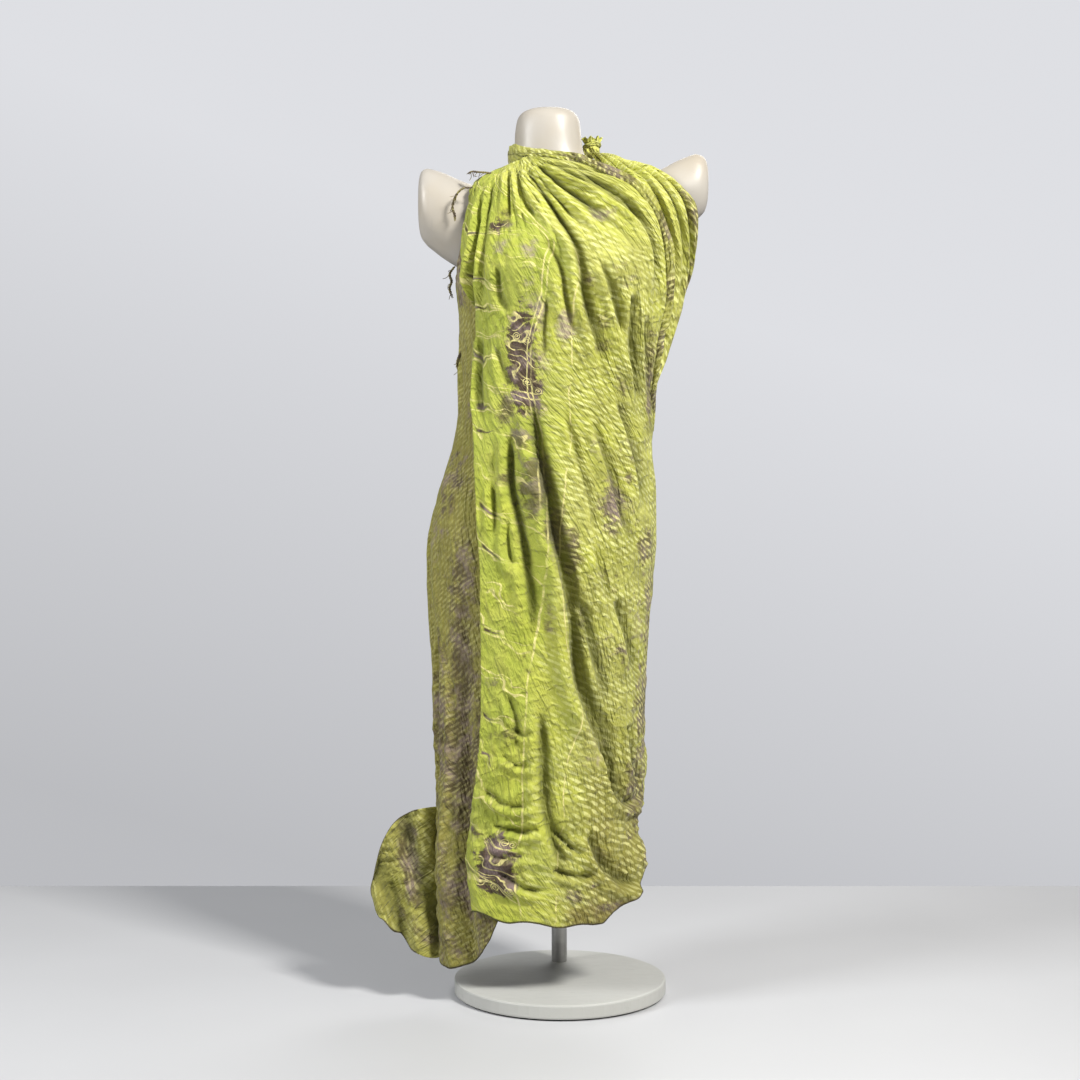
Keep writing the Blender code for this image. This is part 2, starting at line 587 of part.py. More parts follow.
# ---------------------------------------------------------------- the form and its stand
def build_stub(name, rings, helpers):
    """A short arm stub, as ovals in upright planes, to be joined to the torso."""
    angles = np.linspace(0, 2 * math.pi, 20, endpoint=False)
    points = np.stack(
        [
            np.stack(
                [
                    np.full_like(angles, ring.x),
                    ring.half_depth * np.cos(angles),
                    ring.z + ring.half_height * np.sin(angles),
                ],
                axis=-1,
            )
            for ring in rings
        ]
    )
    mesh = grid_mesh(name, points, closed_across=True)
    cap_ends(mesh)
    stub = bpy.data.objects.new(name, mesh)
    helpers.objects.link(stub)
    stub.hide_render = True
    stub.display_type = "WIRE"
    return stub


def build_form(collection, helpers, material):
    heights = np.array([row.height for row in FORM_SECTIONS])
    turns = np.linspace(0, 360, 28, endpoint=False)
    turn, height = np.meshgrid(turns, heights)
    points, out = girth(FORM_SECTIONS, turn, height, np.zeros_like(turn))
    facing = smooth_step(np.cos(np.radians(turn)) / 0.35)
    points = points + out * (facing * bust_reach(points[..., 0], points[..., 2]))[..., None]
    mesh = grid_mesh("dress_form", points, closed_across=True)
    cap_ends(mesh)
    form = place_object("dress_form", mesh, collection, material)
    for name, rings in (("left_stub", LEFT_STUB), ("right_stub", RIGHT_STUB)):
        join = form.modifiers.new(name, "BOOLEAN")
        join.operation = "UNION"
        join.object = build_stub(name, rings, helpers)
    return form


def add_disc(name, radius, foot, top, collection, material, edge=0.0, sides=64, back=0.0):
    bpy.ops.mesh.primitive_cylinder_add(
        vertices=sides, radius=radius, depth=top - foot, location=(0, back, (top + foot) / 2)
    )
    disc = bpy.context.object
    disc.name = name
    for home in list(disc.users_collection):
        home.objects.unlink(disc)
    collection.objects.link(disc)
    disc.data.materials.append(material)
    disc.data.shade_smooth()
    disc.data.set_sharp_from_angle(angle=math.radians(35))
    if edge:
        rounding = disc.modifiers.new("rounded edge", "BEVEL")
        rounding.width = edge
        rounding.segments = 2
        rounding.limit_method = "ANGLE"
        rounding.angle_limit = math.radians(40)
    return disc


def build_stand(collection, painted, steel, rubber):
    add_disc("base_pad", BASE_RADIUS - 0.006, 0.0, PAD_HEIGHT, collection, rubber, sides=48)
    add_disc("stand_base", BASE_RADIUS, PAD_HEIGHT + PLAY, BASE_TOP, collection, painted, edge=0.003)
    add_disc(
        "stand_pole", POLE_RADIUS, BASE_TOP + PLAY, FORM_FOOT - PLAY, collection, steel, sides=24, back=POLE_BACK
    )


def main():
    clear_scene()
    collection = bpy.data.collections.new("tied_wrap_sarong")
    bpy.context.scene.collection.children.link(collection)
    helpers = bpy.data.collections.new("cutters")
    bpy.context.scene.collection.children.link(helpers)
    batik = make_material("batik_cloth", (0.36, 0.47, 0.06), 0.82)
    fringe = make_material("fringe_yarn", (0.14, 0.15, 0.07), 0.90)
    shell = make_material("form_shell", (0.83, 0.80, 0.76), 0.42)
    painted = make_material("stand_paint", (0.74, 0.74, 0.71), 0.45)
    steel = make_material("stand_steel", (0.52, 0.52, 0.53), 0.35, 0.9)
    rubber = make_material("pad_rubber", (0.03, 0.03, 0.03), 0.80)
    build_front_fall(collection, batik)
    build_back_wrap(collection, batik)
    build_side_wrap(collection, batik)
    build_hem_corner(collection, batik)
    build_shoulder_drape(collection, batik)
    build_neck_band(collection, batik)
    build_edge_roll(collection, batik)
    build_knot(collection, batik)
    build_knot_ends(collection, batik)
    build_twists(collection, fringe)
    build_form(collection, helpers, shell)
    build_stand(collection, painted, steel, rubber)


main()
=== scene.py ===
"""Looks of a batik sarong tied as a wrap dress on a limbless dress form, built round its frame.

Metres, +Z up. The garment's front looks along -Y. A turn is an angle round the body, in
degrees: 0 at the front, 90 at +X, 180 at the back, and on past that where the cloth goes round
again. Flat places on the cloth are (metres from its outer end, metres above its hem line).
"""

import math
from collections import namedtuple

import bmesh
import bpy
import numpy as np
from bpy.props import FloatProperty, FloatVectorProperty, PointerProperty
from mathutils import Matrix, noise


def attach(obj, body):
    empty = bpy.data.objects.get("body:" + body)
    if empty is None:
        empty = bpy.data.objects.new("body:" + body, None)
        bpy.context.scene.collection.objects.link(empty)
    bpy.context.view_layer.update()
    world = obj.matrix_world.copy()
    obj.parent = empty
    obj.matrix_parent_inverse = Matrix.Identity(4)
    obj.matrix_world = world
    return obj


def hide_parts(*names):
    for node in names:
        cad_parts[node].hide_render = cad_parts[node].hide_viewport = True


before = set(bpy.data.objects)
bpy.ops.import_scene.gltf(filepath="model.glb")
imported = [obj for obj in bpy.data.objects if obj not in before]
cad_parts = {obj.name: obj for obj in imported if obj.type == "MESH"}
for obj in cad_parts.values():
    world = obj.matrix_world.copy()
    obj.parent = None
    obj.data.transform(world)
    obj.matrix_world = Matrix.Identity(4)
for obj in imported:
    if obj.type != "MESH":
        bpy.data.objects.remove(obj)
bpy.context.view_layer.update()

bl_info = {
    "name": "Batik wrap sarong",
    "version": (1, 0, 0),
    "blender": (4, 5, 0),
    "location": "3D View > Sidebar > Sarong",
    "description": "Cloth, knot, fringe, dress form and stand of a tied batik sarong",
    "category": "Object",
}

FLAT_MAP = "cloth_flat"

# ---------------------------------------------------------------- sizes shared with the frame
LAP_GAP = 0.010          # how far the cloth winds inwards in one full turn
INNER_TUCK = 0.006       # how much further in the hidden inner end lies
ROUNDNESS = 2.25         # 2 is an ellipse, and more is squarer
SIDE_SEAM = 90.0         # the turn where the front stretch meets the back one
INNER_END = 342.0        # the turn where the cloth stops, under the front stretch
SPLIT_HEIGHT = 0.940     # where the back stretch joins the front stretch's side
CLOTH_FOOT = 0.140       # height of flat place zero
FRONT_FLAT = 0.34        # the front stretch's width when flat
FLAT_PER_TURN = 0.00305  # metres of cloth in one degree of turn round the hips
# How deep in a fold the cloth's colour takes the full painted shade.
PAINTED_SHADE_DEPTH = 0.011     # a place this far in lies in full shade

# ---------------------------------------------------------------- how the front is folded
GATHER = (-0.085, 1.405)   # where the front's pleats run together under the neck band
PLEAT_DEGREES = 7.2        # from one pleat to the next
PLEAT_DEPTH = 0.0058
PLEAT_LENGTH = 0.185       # how far from the gather the pleats have all but gone
FRONT_FOLD_SHARE = 1.45    # deepens all of the front's folds
BUST_SIDES = (-0.078, 0.090)
BUST_HEIGHT = 1.222
BUST_SPREAD = 0.052
BUST_FULLNESS = 0.014
UNDERARM_TURN = 268.0
UNDERARM_SLACK = 0.009

# ---------------------------------------------------------------- rows of columns
Section = namedtuple("Section", "height left right front back")
Flute = namedtuple("Flute", "turn_top turn_foot top full width reach")
Spot = namedtuple("Spot", "x y z")
BandSpot = namedtuple("BandSpot", "x y z height thick")
CornerColumn = namedtuple("CornerColumn", "share x y_top z_top y_foot z_foot")
Fold = namedtuple("Fold", "line width depth lip")
Stain = namedtuple("Stain", "place_a place_b reach_a reach_b strength")

CLOTH_SECTIONS = (
    Section(0.040, 0.200, 0.120, 0.150, 0.150),
    Section(0.140, 0.212, 0.132, 0.152, 0.150),
    Section(0.240, 0.214, 0.134, 0.150, 0.148),
    Section(0.340, 0.212, 0.138, 0.146, 0.142),
    Section(0.450, 0.217, 0.142, 0.142, 0.138),
    Section(0.580, 0.224, 0.149, 0.142, 0.142),
    Section(0.700, 0.230, 0.159, 0.143, 0.150),
    Section(0.780, 0.228, 0.165, 0.141, 0.151),
    Section(0.860, 0.211, 0.164, 0.136, 0.142),
    Section(0.930, 0.189, 0.157, 0.132, 0.126),
    Section(1.000, 0.175, 0.160, 0.131, 0.114),
    Section(1.070, 0.167, 0.178, 0.136, 0.112),
    Section(1.140, 0.167, 0.197, 0.143, 0.116),
    Section(1.210, 0.175, 0.208, 0.147, 0.120),
    Section(1.270, 0.183, 0.214, 0.136, 0.118),
    Section(1.330, 0.173, 0.205, 0.117, 0.112),
    Section(1.370, 0.158, 0.180, 0.101, 0.104),
    Section(1.395, 0.118, 0.125, 0.088, 0.096),
    Section(1.420, 0.092, 0.072, 0.076, 0.086),
)
BACK_TOP = (
    (90, 0.940), (105, 0.962), (130, 1.040), (160, 1.120), (180, 1.160), (210, 1.192),
    (240, 1.207), (264, 1.210), (278, 1.216), (288, 1.244), (298, 1.288), (342, 1.284),
)
HEM = (
    (-60, 0.165), (-36, 0.163), (-15, 0.152), (5, 0.147), (22, 0.143), (38, 0.152),
    (52, 0.172), (66, 0.205), (78, 0.262), (90, 0.312), (104, 0.330), (130, 0.325),
    (160, 0.305), (180, 0.294), (205, 0.290), (230, 0.302), (250, 0.318), (264, 0.322),
    (272, 0.285), (279, 0.165), (286, 0.092), (300, 0.062), (311, 0.068), (321, 0.082),
    (331, 0.104), (337, 0.130), (342, 0.160),
)
FRONT_TOP = ((0.0, 1.384), (0.25, 1.396), (0.50, 1.4065), (0.72, 1.4035), (1.0, 1.3945))
FREE_EDGE = (
    (0.16, -34), (0.24, -42), (0.33, -36), (0.42, -30), (0.50, -28), (0.60, -27),
    (0.75, -28), (0.83, -33), (0.92, -43), (1.00, -53), (1.10, -61), (1.20, -63),
    (1.30, -62), (1.40, -64),
)
ROLL_EDGE = (
    (0.90, 89.8), (0.940, 89.8), (0.970, 83), (1.0125, 72), (1.060, 63), (1.1125, 57.5),
    (1.152, 58), (1.190, 57), (1.228, 54.4), (1.280, 48.2), (1.3215, 41.9), (1.348, 35.9),
    (1.3745, 24.6), (1.388, 17.5), (1.410, 4),
)
FLUTES = (
    Flute(298, 299, 0.780, 0.300, 13.0, 0.016),
    Flute(318, 316, 0.740, 0.340, 7.5, -0.016),
    Flute(272, 272, 0.460, 0.260, 8.0, -0.012),
    Flute(238, 236, 0.420, 0.250, 10.0, -0.016),
    Flute(98, 102, 0.520, 0.360, 11.0, 0.011),
    Flute(66, 68, 0.300, 0.235, 13.0, 0.022),
    Flute(84, 84, 0.340, 0.290, 6.0, -0.018),
    Flute(126, 122, 0.760, 0.420, 9.0, -0.011),
    Flute(146, 150, 0.900, 0.420, 11.0, 0.012),
    Flute(170, 174, 0.820, 0.420, 9.0, -0.013),
    Flute(196, 198, 0.960, 0.440, 12.0, 0.013),
    Flute(219, 217, 0.700, 0.400, 8.0, -0.010),
)
HEM_CORNER = (
    CornerColumn(0.00, -0.208, -0.034, 0.318, -0.060, 0.066),
    CornerColumn(0.18, -0.226, -0.042, 0.321, -0.072, 0.074),
    CornerColumn(0.46, -0.256, -0.048, 0.311, -0.074, 0.098),
    CornerColumn(0.72, -0.288, -0.048, 0.284, -0.064, 0.128),
    CornerColumn(0.90, -0.306, -0.049, 0.240, -0.056, 0.147),
    CornerColumn(1.00, -0.315, -0.050, 0.200, -0.053, 0.166),
)
CORNER_TURN = 281.0
CORNER_CLEAR = -0.0020
SHOULDER_ROWS = (
    (Spot(0.046, 0.030, 1.4350), Spot(0.053, 0.029, 1.4370),
     Spot(0.060, 0.031, 1.4360), Spot(0.067, 0.036, 1.4330)),
    (Spot(0.054, 0.008, 1.4250), Spot(0.066, 0.008, 1.4290),
     Spot(0.080, 0.011, 1.4260), Spot(0.094, 0.020, 1.4190)),
    (Spot(0.062, -0.022, 1.4060), Spot(0.082, -0.022, 1.4120),
     Spot(0.106, -0.014, 1.4120), Spot(0.130, 0.000, 1.4050)),
    (Spot(0.070, -0.052, 1.3850), Spot(0.098, -0.052, 1.3900),
     Spot(0.132, -0.044, 1.3960), Spot(0.166, -0.036, 1.3920)),
    (Spot(0.080, -0.070, 1.3580), Spot(0.118, -0.070, 1.3640),
     Spot(0.164, -0.067, 1.3680), Spot(0.208, -0.064, 1.3580)),
    (Spot(0.098, -0.084, 1.3180), Spot(0.142, -0.079, 1.3200),
     Spot(0.190, -0.073, 1.3220), Spot(0.231, -0.060, 1.3160)),
    (Spot(0.114, -0.092, 1.2700), Spot(0.162, -0.078, 1.2640),
     Spot(0.206, -0.054, 1.2560), Spot(0.228, -0.012, 1.2380)),
    (Spot(0.122, -0.094, 1.2000), Spot(0.168, -0.075, 1.1960),
     Spot(0.202, -0.033, 1.1900), Spot(0.204, 0.034, 1.1740)),
    (Spot(0.112, -0.092, 1.1300), Spot(0.154, -0.070, 1.1260),
     Spot(0.187, -0.024, 1.1200), Spot(0.182, 0.054, 1.1080)),
    (Spot(0.102, -0.086, 1.0600), Spot(0.140, -0.062, 1.0560),
     Spot(0.166, -0.014, 1.0500), Spot(0.157, 0.054, 1.0400)),
    (Spot(0.094, -0.080, 0.9900), Spot(0.126, -0.056, 0.9870),
     Spot(0.147, -0.012, 0.9820), Spot(0.136, 0.048, 0.9740)),
    (Spot(0.092, -0.078, 0.9300), Spot(0.121, -0.054, 0.9270),
     Spot(0.138, -0.012, 0.9220), Spot(0.127, 0.044, 0.9140)),
)
NECK_BAND = (
    BandSpot(0.0360, 0.0570, 1.4400, 0.017, 0.0090),
    BandSpot(0.0120, 0.0700, 1.4410, 0.020, 0.0095),
    BandSpot(-0.030, 0.0745, 1.4410, 0.022, 0.0085),
    BandSpot(-0.066, 0.0560, 1.4390, 0.024, 0.0085),
    BandSpot(-0.0835, 0.0160, 1.4310, 0.026, 0.0075),
    BandSpot(-0.0835, -0.026, 1.4220, 0.027, 0.0080),
    BandSpot(-0.0680, -0.060, 1.4150, 0.024, 0.0100),
    BandSpot(-0.0300, -0.077, 1.4110, 0.018, 0.0120),
    BandSpot(0.0080, -0.0795, 1.4055, 0.016, 0.0120),
    BandSpot(0.0430, -0.0850, 1.3990, 0.013, 0.0115),
)
EDGE_ROLL_RADIUS = 0.0062
EDGE_ROLL_HEIGHTS = (1.4000, 0.955)
KNOT_CENTRE = Spot(0.0560, 0.0540, 1.4460)
KNOT_RADIUS = 0.0150
TWISTS = {
    "fringe_twist_shoulder": (
        Spot(-0.1130, -0.0640, 1.3810), Spot(-0.1260, -0.0600, 1.3840), Spot(-0.1380, -0.0540, 1.3860),
        Spot(-0.1480, -0.0490, 1.3880), Spot(-0.1560, -0.0450, 1.3850),
    ),
    "fringe_twist_corner": (
        Spot(-0.1480, -0.0720, 1.3560), Spot(-0.1620, -0.0710, 1.3550), Spot(-0.1740, -0.0670, 1.3440),
        Spot(-0.1800, -0.0640, 1.3250), Spot(-0.1765, -0.0640, 1.3130), Spot(-0.1755, -0.0650, 1.3020),
    ),
    "fringe_twist_underarm": (
        Spot(-0.1800, -0.0120, 1.2340), Spot(-0.1875, -0.0100, 1.2220), Spot(-0.1845, -0.0080, 1.2100),
        Spot(-0.1880, -0.0060, 1.1980), Spot(-0.1830, -0.0040, 1.1830),
    ),
    "fringe_twist_waist": (
        Spot(-0.1620, -0.0040, 1.0980), Spot(-0.1700, -0.0020, 1.0880), Spot(-0.1750, 0.0000, 1.0740),
        Spot(-0.1735, 0.0020, 1.0620), Spot(-0.1680, 0.0030, 1.0540),
    ),
}

# The end border's two closing lines: (height above the hem line, distance from the free edge).
BORDER_LINE = (
    (0.000, 0.074), (0.036, 0.078), (0.158, 0.085), (0.252, 0.070), (0.386, 0.068), (0.483, 0.077),
    (0.589, 0.086), (0.695, 0.094), (0.793, 0.104), (0.890, 0.1175), (0.972, 0.132), (1.017, 0.145),
    (1.078, 0.157), (1.120, 0.168), (1.150, 0.150), (1.190, 0.118), (1.235, 0.086), (1.260, 0.082),
)
SECOND_LINE = (
    (0.000, 0.112), (0.028, 0.118), (0.109, 0.133), (0.158, 0.1315), (0.264, 0.123), (0.345, 0.138),
    (0.467, 0.112), (0.589, 0.104), (0.728, 0.119), (0.842, 0.150), (0.923, 0.174), (1.021, 0.181),
    (1.100, 0.188), (1.160, 0.160), (1.235, 0.100), (1.260, 0.092),
)

# ---------------------------------------------------------------- folds laid
# The front's folds, as (x, z) lines from their upper end. A minus depth is a raised ridge,
# and a lip is how far the cloth swells beside the fold, as a share of its depth.
FRONT_FOLDS = (
    Fold(((-0.087, 1.392), (-0.087, 1.320), (-0.089, 1.291)), 0.0045, 0.006, 0.30),
    Fold(((-0.078, 1.392), (-0.058, 1.320), (-0.034, 1.296)), 0.0055, 0.006, 0.35),
    Fold(
        ((-0.066, 1.396), (-0.018, 1.320), (0.018, 1.258),
         (0.031, 1.210), (0.039, 1.157), (0.064, 1.076), (0.088, 0.978)),
        0.0075, 0.011, 0.45,
    ),
    Fold(((-0.050, 1.398), (0.031, 1.324), (0.096, 1.262)), 0.0070, 0.011, 0.40),
    Fold(((-0.030, 1.398), (0.058, 1.352), (0.120, 1.308), (0.150, 1.262)), 0.0065, 0.010, 0.40),
    Fold(
        ((0.006, 1.392), (0.078, 1.350), (0.128, 1.310), (0.152, 1.258), (0.158, 1.205), (0.153, 1.148)),
        0.0060, 0.009, 0.20,
    ),
    Fold(((-0.040, 1.376), (0.000, 1.322), (0.026, 1.286)), 0.0050, 0.006, 0.40),
    Fold(((-0.060, 1.372), (-0.038, 1.330), (-0.010, 1.290), (0.004, 1.250)), 0.0055, 0.007, 0.40),
    Fold(((0.010, 1.348), (0.064, 1.306), (0.108, 1.262), (0.132, 1.214)), 0.0060, 0.005, 0.40),
    Fold(((-0.030, 1.262), (-0.004, 1.214), (0.010, 1.150), (0.020, 1.080)), 0.0070, 0.007, 0.35),
    Fold(((0.060, 1.230), (0.086, 1.160), (0.112, 1.080), (0.134, 0.985)), 0.0080, 0.008, 0.40),
    Fold(((0.116, 1.177), (0.121, 1.096), (0.140, 0.968)), 0.0080, 0.011, 0.40),
    Fold(((0.140, 1.140), (0.146, 1.070), (0.156, 0.985)), 0.0060, 0.006, 0.30),
    Fold(((-0.023, 1.166), (-0.030, 1.104), (-0.026, 1.050)), 0.0060, 0.006, 0.30),
    Fold(
        ((-0.128, 1.358), (-0.140, 1.258), (-0.148, 1.198), (-0.150, 1.096), (-0.140, 0.980)),
        0.0050, 0.009, 0.45,
    ),
    Fold(((-0.112, 1.372), (-0.124, 1.290), (-0.128, 1.210), (-0.127, 1.130)), 0.0045, 0.006, 0.40),
    Fold(((-0.099, 1.218), (-0.099, 1.169), (-0.083, 1.136)), 0.0060, 0.007, 0.30),
    Fold(((-0.132, 1.112), (-0.137, 1.035), (-0.132, 0.955)), 0.0060, 0.007, 0.40),
    Fold(((-0.107, 1.086), (-0.094, 1.040), (-0.080, 1.006)), 0.0060, 0.006, 0.30),
    Fold(
        ((-0.050, 1.040), (-0.042, 0.930), (-0.023, 0.848), (-0.012, 0.780), (0.001, 0.735), (0.018, 0.645),
         (0.031, 0.542), (0.064, 0.453), (0.088, 0.371), (0.098, 0.335)),
        0.0125, 0.021, 0.42,
    ),
    Fold(
        ((-0.083, 0.955), (-0.083, 0.860), (-0.063, 0.767), (-0.050, 0.664), (-0.047, 0.575)),
        0.0085, 0.012, 0.40,
    ),
    Fold(((-0.112, 0.862), (-0.107, 0.765)), 0.0060, 0.006, 0.40),
    Fold(((-0.088, 0.822), (-0.083, 0.746), (-0.063, 0.716)), 0.0070, 0.009, 0.35),
    Fold(((0.091, 1.010), (0.129, 0.897), (0.146, 0.795)), 0.0090, 0.008, 0.40),
    Fold(((0.047, 0.980), (0.088, 0.860), (0.104, 0.803), (0.124, 0.735)), 0.0085, 0.008, 0.40),
    Fold(((0.004, 0.985), (0.028, 0.900), (0.050, 0.820), (0.062, 0.740)), 0.0070, 0.006, 0.40),
    Fold(((0.034, 0.672), (0.056, 0.583), (0.083, 0.485)), 0.0090, 0.009, 0.40),
    Fold(((0.088, 0.680), (0.112, 0.604), (0.129, 0.532)), 0.0080, 0.008, 0.40),
    Fold(((0.050, 0.770), (0.074, 0.690), (0.098, 0.600)), 0.0070, 0.005, 0.40),
    Fold(((-0.018, 0.737), (0.002, 0.664), (0.023, 0.594)), 0.0070, -0.006, 0.00),
    Fold(
        ((-0.034, 0.510), (-0.031, 0.404), (-0.026, 0.330), (-0.006, 0.265), (0.002, 0.206)),
        0.0105, 0.012, 0.35,
    ),
    Fold(((0.039, 0.298), (0.067, 0.241), (0.099, 0.208), (0.132, 0.205)), 0.0095, 0.010, 0.50),
    Fold(((0.072, 0.438), (0.088, 0.363), (0.112, 0.335), (0.140, 0.352)), 0.0080, 0.010, 0.40),
    Fold(((0.110, 0.470), (0.122, 0.400), (0.140, 0.330)), 0.0080, 0.009, 0.40),
    Fold(((-0.132, 0.363), (-0.083, 0.337), (-0.036, 0.343)), 0.0050, 0.008, 0.50),
    Fold(((-0.118, 0.306), (-0.058, 0.296), (-0.020, 0.314)), 0.0050, 0.008, 0.50),
    Fold(((-0.100, 0.420), (-0.066, 0.402), (-0.030, 0.410)), 0.0045, 0.006, 0.50),
    Fold(((-0.020, 0.236), (0.030, 0.222), (0.062, 0.230)), 0.0050, 0.008, 0.50),
    Fold(((-0.104, 0.232), (-0.060, 0.206), (-0.022, 0.202)), 0.0050, 0.008, 0.50),
    Fold(((-0.012, 0.300), (0.020, 0.268), (0.050, 0.260)), 0.0045, 0.007, 0.50),
    Fold(((-0.124, 0.262), (-0.090, 0.252), (-0.048, 0.262)), 0.0040, 0.006, 0.50),
    Fold(((-0.096, 0.470), (-0.060, 0.452), (-0.040, 0.458)), 0.0040, 0.006, 0.50),
    Fold(((-0.088, 0.520), (-0.074, 0.470), (-0.080, 0.420)), 0.0070, 0.006, 0.40),
)

# The back's and the left side's folds, as (turn, height) lines from their upper end.
BACK_FOLDS = (
    Fold(((94, 0.930), (128, 0.860), (160, 0.760), (178, 0.640)), 0.0110, 0.012, 0.40),
    Fold(((108, 0.960), (140, 0.930), (176, 0.850), (204, 0.760)), 0.0100, 0.010, 0.40),
    Fold(((132, 1.030), (158, 0.990), (192, 0.930), (226, 0.860)), 0.0090, 0.009, 0.40),
    Fold(((162, 1.110), (188, 1.060), (214, 0.990), (238, 0.930)), 0.0080, 0.008, 0.40),
    Fold(((198, 1.180), (216, 1.120), (236, 1.050), (250, 0.990)), 0.0080, 0.008, 0.40),
    Fold(((236, 1.198), (246, 1.130), (258, 1.060), (266, 0.985)), 0.0080, 0.009, 0.40),
    Fold(((262, 1.200), (268, 1.120), (276, 1.040), (284, 0.960)), 0.0070, 0.007, 0.40),
    Fold(((100, 0.880), (112, 0.760), (116, 0.620), (112, 0.460)), 0.0110, 0.010, 0.40),
    Fold(((150, 0.720), (156, 0.600), (158, 0.440), (154, 0.330)), 0.0110, 0.010, 0.40),
    Fold(((186, 0.740), (188, 0.620), (186, 0.500), (190, 0.340)), 0.0110, 0.011, 0.40),
    Fold(((212, 0.900), (222, 0.780), (226, 0.640), (228, 0.480)), 0.0100, 0.009, 0.40),
    Fold(((240, 0.880), (250, 0.760), (254, 0.640), (252, 0.500)), 0.0090, 0.007, 0.40),
    Fold(((266, 0.860), (276, 0.760), (284, 0.640), (288, 0.540)), 0.0080, 0.006, 0.40),
    Fold(((292, 0.640), (294, 0.520), (290, 0.380), (286, 0.240)), 0.0070, 0.006, 0.40),
    Fold(((306, 0.560), (308, 0.440), (304, 0.300), (300, 0.160)), 0.0060, 0.006, 0.40),
)

# ---------------------------------------------------------------- dye placed
# Brown and mauve stains on the front as (x, z, reach, reach, strength), and round the rest of the cloth as
# (turn, height, reach, reach, strength). The strong brown ones along the long skirt fold are stains and also
# painted shade in that fold.
FRONT_BROWN_AND_FOLD_SHADE = (
    Stain(-0.062, 1.090, 0.020, 0.075, 0.50), Stain(-0.088, 1.290, 0.012, 0.026, 0.62),
    Stain(-0.110, 0.540, 0.016, 0.010, 0.60), Stain(-0.096, 0.455, 0.020, 0.010, 0.62),
    Stain(-0.020, 0.655, 0.010, 0.050, 0.55), Stain(0.118, 0.160, 0.030, 0.020, 0.55),
    Stain(-0.090, 0.985, 0.014, 0.030, 0.80), Stain(-0.066, 0.940, 0.022, 0.020, 0.75),
    Stain(-0.044, 0.860, 0.024, 0.046, 0.90), Stain(-0.086, 0.866, 0.016, 0.012, 0.70),
    Stain(-0.010, 0.790, 0.020, 0.036, 0.85), Stain(0.020, 0.740, 0.014, 0.050, 0.80),
    Stain(0.034, 0.640, 0.012, 0.030, 0.60), Stain(0.088, 0.820, 0.020, 0.040, 0.85),
    Stain(0.112, 0.880, 0.018, 0.022, 0.60), Stain(0.140, 0.760, 0.018, 0.030, 0.80),
    Stain(0.150, 0.640, 0.012, 0.110, 0.72), Stain(0.138, 0.480, 0.016, 0.090, 0.80),
    Stain(0.128, 0.350, 0.020, 0.070, 0.80), Stain(0.148, 0.250, 0.012, 0.040, 0.75),
    Stain(0.150, 1.040, 0.010, 0.080, 0.80), Stain(0.070, 1.110, 0.016, 0.050, 0.55),
    Stain(0.098, 1.020, 0.014, 0.050, 0.45), Stain(0.046, 1.180, 0.012, 0.040, 0.55),
    Stain(0.100, 1.330, 0.050, 0.010, 0.45), Stain(0.030, 0.190, 0.030, 0.022, 0.62),
    Stain(0.080, 0.165, 0.034, 0.016, 0.50), Stain(-0.050, 0.560, 0.012, 0.030, 0.40),
    Stain(0.075, 0.700, 0.030, 0.030, 0.45), Stain(0.104, 0.585, 0.022, 0.030, 0.48),
    Stain(-0.140, 0.700, 0.010, 0.120, 0.25), Stain(0.060, 0.270, 0.020, 0.040, 0.35),
)
FRONT_MAUVE = (
    Stain(0.090, 0.830, 0.024, 0.036, 0.80), Stain(0.006, 1.118, 0.016, 0.030, 0.85),
    Stain(-0.098, 1.255, 0.018, 0.020, 0.62), Stain(-0.036, 1.140, 0.014, 0.030, 0.70),
    Stain(0.072, 1.302, 0.028, 0.014, 0.75), Stain(-0.056, 1.240, 0.024, 0.022, 0.62),
    Stain(0.110, 1.200, 0.020, 0.030, 0.42), Stain(0.110, 0.920, 0.022, 0.024, 0.40),
    Stain(-0.100, 1.080, 0.020, 0.040, 0.36), Stain(0.082, 0.600, 0.024, 0.050, 0.40),
    Stain(-0.030, 1.060, 0.014, 0.044, 0.60), Stain(-0.080, 1.020, 0.024, 0.030, 0.35),
    Stain(-0.052, 1.170, 0.016, 0.040, 0.60), Stain(0.130, 0.620, 0.020, 0.060, 0.50),
    Stain(0.060, 0.430, 0.024, 0.060, 0.42), Stain(0.062, 0.930, 0.020, 0.040, 0.45),
)
# The strong brown ones at turns 312 to 318 are stains and also the painted shadow in the gap beside the
# front's free edge.
ROUND_BROWN_AND_GAP_SHADE = (
    Stain(118, 0.900, 22, 0.060, 0.55), Stain(150, 0.700, 20, 0.120, 0.50),
    Stain(100, 0.560, 10, 0.120, 0.70), Stain(132, 0.420, 18, 0.090, 0.60),
    Stain(182, 0.980, 24, 0.070, 0.60), Stain(206, 0.620, 20, 0.120, 0.55),
    Stain(236, 0.860, 16, 0.080, 0.50), Stain(226, 0.420, 16, 0.080, 0.60),
    Stain(176, 0.380, 16, 0.060, 0.55), Stain(250, 1.140, 20, 0.050, 0.60),
    Stain(284, 1.220, 16, 0.050, 0.85), Stain(304, 0.980, 14, 0.060, 0.45),
    Stain(300, 0.860, 14, 0.060, 0.62), Stain(318, 0.700, 10, 0.080, 0.80),
    Stain(316, 0.560, 9, 0.110, 0.92), Stain(312, 0.400, 10, 0.120, 0.95),
    Stain(300, 0.580, 10, 0.060, 0.55), Stain(296, 0.460, 9, 0.090, 0.85),
    Stain(292, 0.330, 9, 0.060, 0.60), Stain(300, 0.240, 9, 0.060, 0.55),
    Stain(314, 0.190, 16, 0.050, 0.80), Stain(300, 0.100, 20, 0.030, 0.62),
    Stain(276, 0.700, 10, 0.080, 0.40), Stain(272, 0.520, 10, 0.080, 0.35),
    Stain(330, 0.300, 14, 0.200, 0.90),
)
